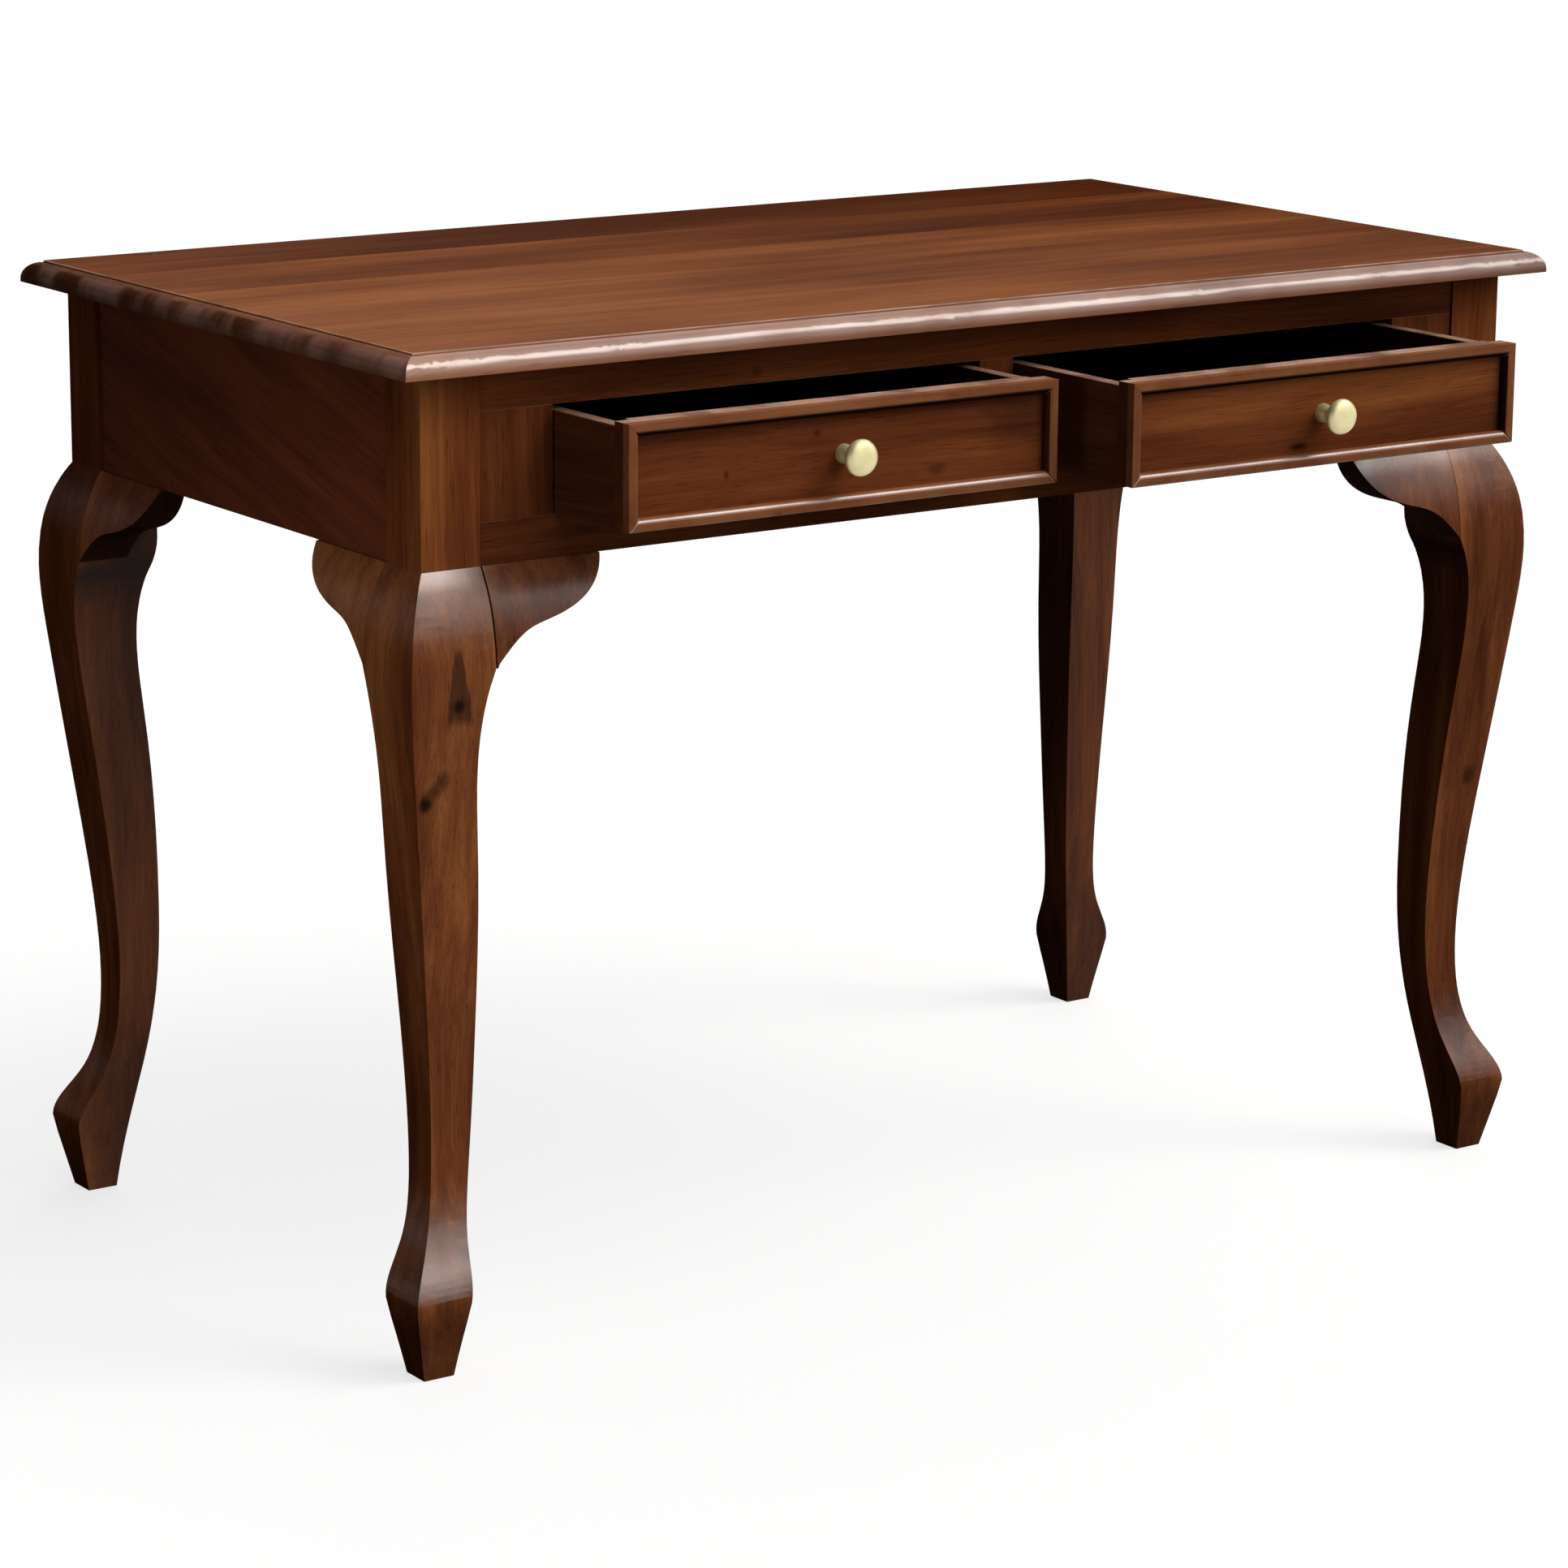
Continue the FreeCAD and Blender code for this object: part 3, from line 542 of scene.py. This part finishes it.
def merged_copy(node, *finishes):
    """A dressed copy of a node's mesh with its loose triangles joined into faces."""
    piece = bpy.data.objects.new(f"{node}_eased", nodes[node].data.copy())
    bpy.context.scene.collection.objects.link(piece)
    only(piece)
    bpy.ops.object.mode_set(mode="EDIT")
    bpy.ops.mesh.select_all(action="SELECT")
    bpy.ops.mesh.customdata_custom_splitnormals_clear()
    bpy.ops.mesh.remove_doubles(threshold=WELD)
    bpy.ops.mesh.dissolve_limited(angle_limit=FLAT)
    bpy.ops.object.mode_set(mode="OBJECT")
    dress(piece, *finishes)
    return piece


def everywhere(start, end):
    """The full width on every edge."""
    return 1.0


def turns(mesh):
    """How far the two faces of each edge turn away from each other."""
    faces_of = {}
    for face in mesh.polygons:
        for key in face.edge_keys:
            faces_of.setdefault(key, []).append(face.normal.copy())
    sides = [faces_of.get(edge.key, ()) for edge in mesh.edges]
    return [pair[0].angle(pair[1], 0) if len(pair) == 2 else 0 for pair in sides]


def edge_ends(mesh, edge):
    return [mesh.vertices[index].co for index in edge.vertices]


def round_over(piece, width, segments=2, share=everywhere, turn=SHARP, slot=EDGE_SLOT):
    """Rounds edges where the faces turn; share says how much of the width an edge gets."""
    mesh = piece.data
    weights = mesh.attributes.get("bevel_weight_edge")
    if weights is None:
        weights = mesh.attributes.new("bevel_weight_edge", "FLOAT", "EDGE")
    for edge, angle in zip(mesh.edges, turns(mesh)):
        weights.data[edge.index].value = share(*edge_ends(mesh, edge)) if angle > turn else 0
    rounding = piece.modifiers.new("rounding", "BEVEL")
    rounding.width = width
    rounding.segments = segments
    rounding.limit_method = "WEIGHT"
    rounding.material = slot
    only(piece)
    bpy.ops.object.modifier_apply(modifier=rounding.name)


def stand_in(piece, node):
    """Smooths a piece, flat faces staying flat, and puts it in the place of its node."""
    only(piece)
    bpy.ops.object.shade_smooth_by_angle(angle=SMOOTH)
    flat = piece.modifiers.new("flat", "WEIGHTED_NORMAL")
    flat.keep_sharp = True
    bpy.ops.object.modifier_apply(modifier=flat.name)
    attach(piece, nodes[node]["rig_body"])
    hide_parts(node)


def eased(node, width, body, edge, *facing):
    """The usual piece: sharp edges rounded by one width, and other finishes on faces turned given ways."""
    piece = merged_copy(node, body, edge, *[finish for way, finish in facing])
    for face in piece.data.polygons:
        for slot, (way, finish) in enumerate(facing, start=FACING_SLOT):
            if face.normal.dot(way) > FACING_TURN:
                face.material_index = slot
    if width:
        round_over(piece, width)
    stand_in(piece, node)


# Planes of the frame that edges are told apart by
apron_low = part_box("apron_left")[0].z
block_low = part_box("knee_block_front_left_front")[0].z
block_back_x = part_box("knee_block_back_left_side")[1].x
block_back_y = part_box("knee_block_front_left_front")[1].y
post_in_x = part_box("knee_block_front_right_front")[1].x
post_in_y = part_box("knee_block_back_left_side")[1].y
field_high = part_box("top_board_1")[1].z
board_joint_out = abs(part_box("top_board_1")[1].y)
NEAR = 0.4 * MM

# Rounding of a leg: the corner under the knee, the side arrises by height, and the toe and heel arrises
KNEE_TURN = math.radians(12)
CORNER_WIDTH = 13 * MM
CORNER_SEGMENTS = 4
BAND = 4 * MM
SIDE_OFF = 15 * MM
SIDE_WIDTH = 12 * MM
SIDE_SEGMENTS = 5
SIDE_ROUNDING = ((0, 0.55), (0.04, 0.9), (0.075, 1), (0.13, 0.5),
                 (0.3, 0.42), (0.45, 0.25), (0.5, 0.2), (0.543, 0.02))
TOE_WIDTH = 3 * MM
TOE_SEGMENTS = 3
POST_SHARE = 0.25


def in_bands(leg):
    """Cuts a leg's cabriole into level bands of four faces each, and dissolves its other edges."""
    heights = {block_low}
    for edge, angle in zip(leg.data.edges, turns(leg.data)):
        if angle > SHARP:
            heights.update(end.z for end in edge_ends(leg.data, edge))
    levels = [apron_low]
    for height in sorted(heights, reverse=True):
        at_corner = abs(height - block_low) < NEAR
        if height < levels[-1] - BAND and (at_corner or abs(height - block_low) > CORNER_WIDTH):
            levels.append(height)
    only(leg)
    bpy.ops.object.mode_set(mode="EDIT")
    for level in levels[1:]:
        bpy.ops.mesh.select_all(action="SELECT")
        bpy.ops.mesh.bisect(plane_co=(0, 0, level), plane_no=(0, 0, 1))
    bpy.ops.mesh.select_all(action="DESELECT")
    bpy.ops.mesh.select_mode(type="EDGE")
    bpy.ops.object.mode_set(mode="OBJECT")
    for edge, angle in zip(leg.data.edges, turns(leg.data)):
        start, end = edge_ends(leg.data, edge)
        flat = abs(start.z - end.z) < NEAR and min(abs(start.z - level) for level in levels) < NEAR
        edge.select = max(start.z, end.z) < apron_low + NEAR and angle < SHARP and not flat
    bpy.ops.object.mode_set(mode="EDIT")
    bpy.ops.mesh.dissolve_edges(use_verts=True)
    bpy.ops.object.mode_set(mode="OBJECT")


def cut_across(piece, spot, facing):
    """Adds edges round a piece where a plane meets it."""
    only(piece)
    bpy.ops.object.mode_set(mode="EDIT")
    bpy.ops.mesh.select_all(action="SELECT")
    bpy.ops.mesh.bisect(plane_co=spot, plane_no=facing)
    bpy.ops.object.mode_set(mode="OBJECT")


def behind_block(start, end):
    """The corner under the knee, as far as no block covers it."""
    middle = (start + end) / 2
    bare = abs(middle.x) < abs(block_back_x) and abs(middle.y) < abs(block_back_y)
    return 1.0 if bare and max(abs(start.z - block_low), abs(end.z - block_low)) < NEAR else 0.0


def side_arris(start, end):
    """The two arrises at a leg's sides, rounded by height; the toe and heel arrises lie on its diagonal."""
    middle = (start + end) / 2
    off_diagonal = abs(abs(middle.x) - post_in_x - abs(middle.y) + post_in_y)
    if abs(start.z - end.z) < NEAR or middle.z > apron_low or off_diagonal < SIDE_OFF:
        return 0.0
    for (low, low_share), (high, high_share) in zip(SIDE_ROUNDING, SIDE_ROUNDING[1:]):
        if middle.z <= high:
            return low_share + (high_share - low_share) * (middle.z - low) / (high - low)
    return SIDE_ROUNDING[-1][1]


def other_arris(start, end):
    """Full rounding on the toe and heel arrises, less on the post."""
    return POST_SHARE if max(start.z, end.z) > apron_low - NEAR else 1.0


def on_board_joint(start, end):
    """True for the edge between two boards, which runs along X inside the field."""
    return abs(start.y - end.y) < NEAR and abs(start.y) < board_joint_out + NEAR


def field_edge(start, end):
    """The edge of the top's flat field."""
    high = min(start.z, end.z) > field_high - NEAR
    return 1.0 if high and not on_board_joint(start, end) else 0.0


def open_joint(block, axis, gap):
    """Draws a block's glued face back from its leg."""
    glued = max(abs(vertex.co[axis]) for vertex in block.data.vertices)
    for vertex in block.data.vertices:
        if glued - abs(vertex.co[axis]) < NEAR:
            vertex.co[axis] -= math.copysign(gap, vertex.co[axis])


# Rubbed edges of the frame
rubbed_upright = wood("rubbed_upright", "z", seed=3, tone=0.08, rubbed=0.45)
rubbed_long = wood("rubbed_long", "x", seed=5, tone=0.08, rubbed=0.6)
rubbed_deep = wood("rubbed_deep", "y", seed=7, tone=0.06, rubbed=0.5)

# Legs; a round knot has its place, reach and depth, and a lengthwise one its tip, height and half width
LEG_SEED = 11
LEG_CONTRAST = 1.25
KNEE_SHINE = (0.08, 0.44)
LEG_FINISHES = {
    "leg_front_left": {"tone": 0.15, "post": -0.12, "coat": 1.0, "sheen": 0.01},
    "leg_front_right": {"tone": 0.1, "post": 0.05, "coat": 0.4, "sheen": 0.03},
    "leg_back_left": {"tone": 0.08, "post": -0.16, "coat": 0.4, "sheen": 0.2},
    "leg_back_right": {"tone": 0.04, "post": -0.12, "coat": 0.7, "sheen": 0.12},
}
LEG_EYES = {
    "leg_front_left": (((-0.5037, -0.2985, 0.5185), (0.008, 0.02, 0.008), 0.88),
                       ((-0.5295, -0.292, 0.4465), (0.0075, 0.02, 0.008), 0.9),
                       ((-0.5255, -0.292, 0.4515), (0.009, 0.02, 0.009), 0.5),
                       ((-0.5195, -0.292, 0.4580), (0.009, 0.02, 0.009), 0.5),
                       ((-0.5140, -0.293, 0.4650), (0.008, 0.02, 0.009), 0.5)),
    "leg_front_right": (((0.5085, -0.279, 0.331), (0.009, 0.02, 0.011), 0.62),),
}
LEG_FLAMES = {"leg_front_left": (((-0.5035, -0.2985, 0.562), 0.056, 0.011),)}
for count, (name, settings) in enumerate(LEG_FINISHES.items()):
    leg_wood = wood(f"{name}_wood", "z", LEG_SEED + count, LEG_STAIN, contrast=LEG_CONTRAST,
                    shine=KNEE_SHINE, dark_spots=LEG_EYES.get(name, ()), flames=LEG_FLAMES.get(name, ()),
                    **settings)
    leg = merged_copy(name, leg_wood, rubbed_upright)
    in_bands(leg)
    centre = sum(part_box(name), Vector()) / 2
    cut_across(leg, (math.copysign(block_back_x, centre.x), 0, 0), (1, 0, 0))
    cut_across(leg, (0, math.copysign(block_back_y, centre.y), 0), (0, 1, 0))
    round_over(leg, CORNER_WIDTH, CORNER_SEGMENTS, share=behind_block, turn=KNEE_TURN, slot=BODY_SLOT)
    round_over(leg, SIDE_WIDTH, SIDE_SEGMENTS, share=side_arris, slot=BODY_SLOT)
    round_over(leg, TOE_WIDTH, TOE_SEGMENTS, share=other_arris)
    stand_in(leg, name)

# Knee blocks
BLOCK_SEED = 21
BLOCK_CONTRAST = 1.3
BLOCK_EASE = 0.8 * MM
TIGHT_JOINT = 0.45 * MM
OPEN_JOINTS = {"knee_block_front_left_front": 1.6 * MM}
X_AXIS = 0
Y_AXIS = 1
BLOCK_FINISHES = {
    "knee_block_front_left_front": {"stain": LEG_STAIN, "tone": 0.2, "coat": 0.6},
    "knee_block_front_left_side": {"stain": FRAME_STAIN, "tone": 0.28, "coat": 0.9},
    "knee_block_front_right_front": {"stain": LEG_STAIN, "tone": 0.05, "coat": 0.5},
    "knee_block_front_right_side": {"stain": FRAME_STAIN, "tone": 0.05, "coat": 0.5},
    "knee_block_back_left_side": {"stain": APRON_STAIN, "tone": 0.16, "coat": 0.5},
    "knee_block_back_right_side": {"stain": APRON_STAIN, "tone": 0.05, "coat": 0.5},
}
for count, name in enumerate(name for name in nodes if name.startswith("knee_block")):
    block_wood = wood(f"{name}_wood", "z", BLOCK_SEED + count, contrast=BLOCK_CONTRAST, shine=KNEE_SHINE,
                      **BLOCK_FINISHES[name])
    block = merged_copy(name, block_wood, rubbed_upright)
    glued_axis = Y_AXIS if name.endswith("side") else X_AXIS
    open_joint(block, glued_axis, OPEN_JOINTS.get(name, TIGHT_JOINT))
    round_over(block, BLOCK_EASE)
    stand_in(block, name)

# Front frame and aprons
FRAME_EASE = 0.3 * MM
STILE_SEED = 31
STILE_TONE = -0.06
RAIL_SEED = 41
RAIL_TONE = -0.04
RAIL_EYES = {"rail_upper": (((-0.2261, -0.275, 0.7394), (0.006, 0.02, 0.006), 0.35),)}
APRON_SEED = 51
APRON_TONE = -0.02
APRON_CONTRAST = 0.8
# Painted shade: the aprons' tone falls towards the back
APRON_PAINTED_SHADE_SLOPE = (0, 0.5, 0)
APRON_GRAIN = {"apron_left": "y slanting", "apron_right": "y"}
for count, name in enumerate(("stile_left", "stile_right", "muntin")):
    eased(name, FRAME_EASE, wood(f"{name}_wood", "z", STILE_SEED + count, tone=STILE_TONE), rubbed_upright)
for count, name in enumerate(("rail_lower", "rail_upper", "apron_back")):
    rail_wood = wood(f"{name}_wood", "x", RAIL_SEED + count, tone=RAIL_TONE, dark_spots=RAIL_EYES.get(name, ()))
    eased(name, FRAME_EASE, rail_wood, rubbed_long)
for count, (name, grain) in enumerate(APRON_GRAIN.items()):
    apron_wood = wood(f"{name}_wood", grain, APRON_SEED + count, APRON_STAIN, tone=APRON_TONE,
                      contrast=APRON_CONTRAST, painted_shade_slope=APRON_PAINTED_SHADE_SLOPE)
    eased(name, FRAME_EASE, apron_wood, rubbed_deep)

# Top boards, each of its own tone
BOARD_SEED = 60
BOARD_TONES = (0.01, 0.0, 0.02, -0.16, -0.36)
BOARD_CONTRAST = 0.66
BOARD_SHINE = (-0.15, 0.3)
# Painted shade: the top's tone falls towards the right
TOP_PAINTED_SHADE_SLOPE = (0.25, 0, 0)
FIELD_EASE = 0.9 * MM
# Painted highlight with some wear: a pale, glossy band on the rounded edge of the top's field
field_arris = wood("field_arris_wood", "x", seed=6, tone=0.12, coat=1.0, rubbed=0.9, pale=PALE_WEAR_AND_HIGHLIGHT_COLOUR)
for count, tone in enumerate(BOARD_TONES, start=1):
    name = f"top_board_{count}"
    top_wood = wood(f"{name}_wood", "x", BOARD_SEED + count, TOP_STAIN, tone=tone, coat=1.0, roughness=0.45,
                    contrast=BOARD_CONTRAST, ends=True, shine=BOARD_SHINE, painted_shade_slope=TOP_PAINTED_SHADE_SLOPE)
    board = merged_copy(name, top_wood, field_arris)
    round_over(board, FIELD_EASE, share=field_edge)
    stand_in(board, name)

# Drawer finishes; a knot, and the one patch of painted shade among them, has its place, reach and depth
FRONT_SEED = 81
FRONT_TONE = 0.07
FRONT_EYES_AND_SHADE = {
    "left": (((-0.2359, -0.368, 0.7061), (0.005, 0.01, 0.004), 0.6),
             ((-0.3169, -0.368, 0.6828), (0.0035, 0.01, 0.0045), 0.65),
             ((-0.1264, -0.368, 0.6690), (0.0130, 0.01, 0.0055), 0.45),
             # A wide, faint dark patch at the right end of the left drawer's panel: partly the wood, partly
             # painted shade beside the right bead
             ((-0.0520, -0.368, 0.7010), (0.0400, 0.01, 0.0300), 0.40)),
    "right": (((0.1887, -0.417, 0.6645), (0.012, 0.01, 0.004), 0.8),),
}
BEAD_EYES = (((-0.276, -0.376, 0.6493), (0.005, 0.01, 0.004), 0.7),)
lining = wood("drawer_lining_wood", "y", seed=71, stain=LINING_STAIN, tone=0.08, coat=0.1, roughness=0.6)
lining_edge = wood("drawer_lining_edge", "y", seed=72, stain=LINING_STAIN, coat=0.2, roughness=0.55,
                   rubbed=0.4)
# Partly wear, partly painted light: the drawer sides' up faces are paler
lining_top_worn_and_lit = wood("drawer_lining_worn", "y", seed=76, stain=LINING_STAIN, coat=0.2, rubbed=0.6,
                   pale=PALE_WEAR_AND_HIGHLIGHT_COLOUR)
# Painted shade: a dark finish on the drawer sides' inner faces, inside the drawer
lining_painted_shade = wood("drawer_lining_dark", "y", seed=70, stain=LINING_STAIN, tone=-0.3, coat=0.05,
                   roughness=0.65)
# Painted shade: the drawer bottom and back are stained darker, where the inside of the drawer lies in shade
panel_painted_shade_wood = wood("drawer_bottom_wood", "x", seed=73, stain=LINING_STAIN, tone=-0.2, coat=0.05,
                  roughness=0.65)
# Partly wear, partly painted light: the drawer fronts' up faces and the upper beads' rounded edges are
# paler
front_top_worn_and_lit = wood("drawer_front_worn", "x", seed=77, coat=0.5, rubbed=0.85, pale=PALE_WEAR_AND_HIGHLIGHT_COLOUR)
# Painted shade: a dark finish on the upper beads' under faces and the right beads' left faces, in the
# hollow beside the panel
bead_painted_shade = wood("bead_dark_wood", "z", seed=78, stain=LINING_STAIN, tone=-0.3, coat=0.3)
# Painted highlight with some wear: the lower beads' rounded edges are pale
bead_arris = wood("bead_arris_wood", "x", seed=79, tone=0.15, coat=1.0, rubbed=0.75, pale=PALE_WEAR_AND_HIGHLIGHT_COLOUR,
                  shine=(0.0, 0.3))
bead_long = wood("bead_long_wood", "x", seed=74, tone=0.2, coat=1.0, rubbed=0.4, shine=(0.05, 0.35),
                 dark_spots=BEAD_EYES)
bead_upright = wood("bead_upright_wood", "z", seed=75, tone=0.15, coat=1.0, rubbed=0.35)
knob_brass = brass("knob_brass")

# Drawers
FRONT_EASE = 0.5 * MM
BEAD_LOW_EASE = 1.0 * MM
BEAD_EASE = 0.7 * MM
LINING_EASE = 0.8 * MM
BACK_EASE = 0.5 * MM
AS_TURNED = 0
for count, hand in enumerate(("left", "right")):
    drawer = f"drawer_{hand}"
    front_wood = wood(f"{drawer}_front_wood", "x", FRONT_SEED + count, tone=FRONT_TONE,
                      dark_spots=FRONT_EYES_AND_SHADE[hand], ends=True)
    eased(f"{drawer}_front", FRONT_EASE, front_wood, rubbed_long, (UP, front_top_worn_and_lit))
    eased(f"{drawer}_bead_lower", BEAD_LOW_EASE, bead_long, bead_arris)
    eased(f"{drawer}_bead_upper", BEAD_EASE, bead_long, front_top_worn_and_lit, (DOWN, bead_painted_shade))
    eased(f"{drawer}_bead_left", BEAD_EASE, bead_upright, rubbed_upright)
    eased(f"{drawer}_bead_right", BEAD_EASE, bead_upright, rubbed_upright, (LEFT, bead_painted_shade))
    for edge, inwards in (("left", RIGHT), ("right", LEFT)):
        eased(f"{drawer}_side_{edge}", LINING_EASE, lining, lining_edge,
              (UP, lining_top_worn_and_lit), (inwards, lining_painted_shade))
    eased(f"{drawer}_back", BACK_EASE, panel_painted_shade_wood, lining_edge)
    eased(f"{drawer}_knob", AS_TURNED, knob_brass, knob_brass)
    dress(nodes[f"{drawer}_bottom"], panel_painted_shade_wood)

# Bare wood and screws that only show from below
bare_deep = wood("bare_deep_wood", "y", seed=91, stain=BARE_STAIN, coat=0.0, roughness=0.7)
bare_long = wood("bare_long_wood", "x", seed=92, stain=BARE_STAIN, coat=0.0, roughness=0.7)
screw_steel = steel("screw_steel")
for name, node in nodes.items():
    if name.startswith(("runner", "guide", "kicker")):
        dress(node, bare_deep)
    elif name in ("drawer_stops", "top_buttons"):
        dress(node, bare_long)
    elif "screw" in name:
        dress(node, screw_steel)


def studio_white(name, pale, glow):
    """White to the camera and in reflections, but it throws little light back on the desk."""
    finish = Finish(name)
    rays = [f"Is {ray} Ray" for ray in ("Camera", "Glossy", "Transmission")]
    camera_ray, glossy_ray, clear_ray = [finish.node("ShaderNodeLightPath", out=ray) for ray in rays]
    seen = (camera_ray + glossy_ray + clear_ray).then("MINIMUM", 1)
    return finish.surface(
        Base_Color=finish.mix(seen, FLOOR_BOUNCE, pale),
        Emission_Color=finish.mix(seen, BLACK, WHITE),
        Emission_Strength=glow,
        Roughness=1.0,
        Specular_IOR_Level=0.0,
    )


def stage_floor():
    """A wide floor that takes the desk's shadow."""
    bpy.ops.object.select_all(action="DESELECT")
    bpy.ops.mesh.primitive_plane_add(size=2 * FLOOR_HALF, location=(0, 0, 0))
    floor = bpy.context.active_object
    floor.name = "studio_floor"
    dress(floor, studio_white("studio_floor_white", FLOOR_PALE, FLOOR_GLOW))


def stage_backdrop():
    """A low far wall round the floor that shades nothing, for views from near the floor."""
    bpy.ops.object.select_all(action="DESELECT")
    bpy.ops.mesh.primitive_cylinder_add(vertices=BACKDROP_SIDES, radius=FLOOR_HALF, depth=BACKDROP_HIGH,
                                        end_fill_type="NOTHING", location=(0, 0, BACKDROP_HIGH / 2))
    bpy.ops.object.transform_apply(location=True)
    wall = bpy.context.active_object
    wall.name = "studio_backdrop"
    wall.visible_diffuse = False
    wall.visible_shadow = False
    dress(wall, studio_white("studio_backdrop_white", BACKDROP_PALE, BACKDROP_GLOW))


def hang(name, data, facing, glare=False, place=(0, 0, 0)):
    """Adds a lamp that shines from a direction, or from a place along it."""
    holder = bpy.data.objects.new(name, data)
    holder.location = place
    holder.rotation_euler = Vector(facing).to_track_quat("Z", "Y").to_euler()
    holder.visible_camera = False
    holder.visible_glossy = glare
    bpy.context.scene.collection.objects.link(holder)


def far_lamp(name, facing, strength, spread, colour, glare):
    """A far soft light."""
    light = bpy.data.lights.new(name, "SUN")
    light.energy = strength
    light.color = colour
    light.angle = math.radians(spread)
    hang(name, light, facing, glare)


def fill_lamp(name):
    """A soft near light on the left side, which falls off towards the back."""
    light = bpy.data.lights.new(name, "SPOT")
    light.energy = FILL_WATTS
    light.shadow_soft_size = FILL_RADIUS
    light.spot_size = FILL_CONE
    light.spot_blend = 1.0
    hang(name, light, Vector(FILL_PLACE) - Vector(FILL_AIM), place=FILL_PLACE)


def dim_room(name):
    """An even weak light from all round."""
    world = bpy.data.worlds.new(name)
    world.use_nodes = True
    background = world.node_tree.nodes["Background"]
    background.inputs["Color"].default_value = (*WHITE, 1)
    background.inputs["Strength"].default_value = ROOM_LIGHT
    bpy.context.scene.world = world


def camera():
    """The photograph's viewpoint, direction and lens."""
    lens = bpy.data.cameras.new("photo_camera")
    lens.sensor_width = SENSOR_WIDTH
    lens.lens = SENSOR_WIDTH * FOCAL_PIXELS / PHOTO_PIXELS
    holder = bpy.data.objects.new("photo_camera", lens)
    turn = Matrix.Rotation(CAMERA_TURN, 3, "Z")
    tilt = Matrix.Rotation(CAMERA_TILT, 3, "X")
    roll = Matrix.Rotation(CAMERA_ROLL, 3, "Z")
    holder.location = CAMERA_PLACE
    holder.rotation_euler = (turn @ tilt @ roll).to_euler()
    bpy.context.scene.collection.objects.link(holder)
    bpy.context.scene.camera = holder


stage_floor()
stage_backdrop()
for name, settings in FAR_LAMPS.items():
    far_lamp(name, *settings)
fill_lamp("side_fill")
dim_room("studio_room")
camera()
bpy.context.scene.view_settings.view_transform = "Standard"
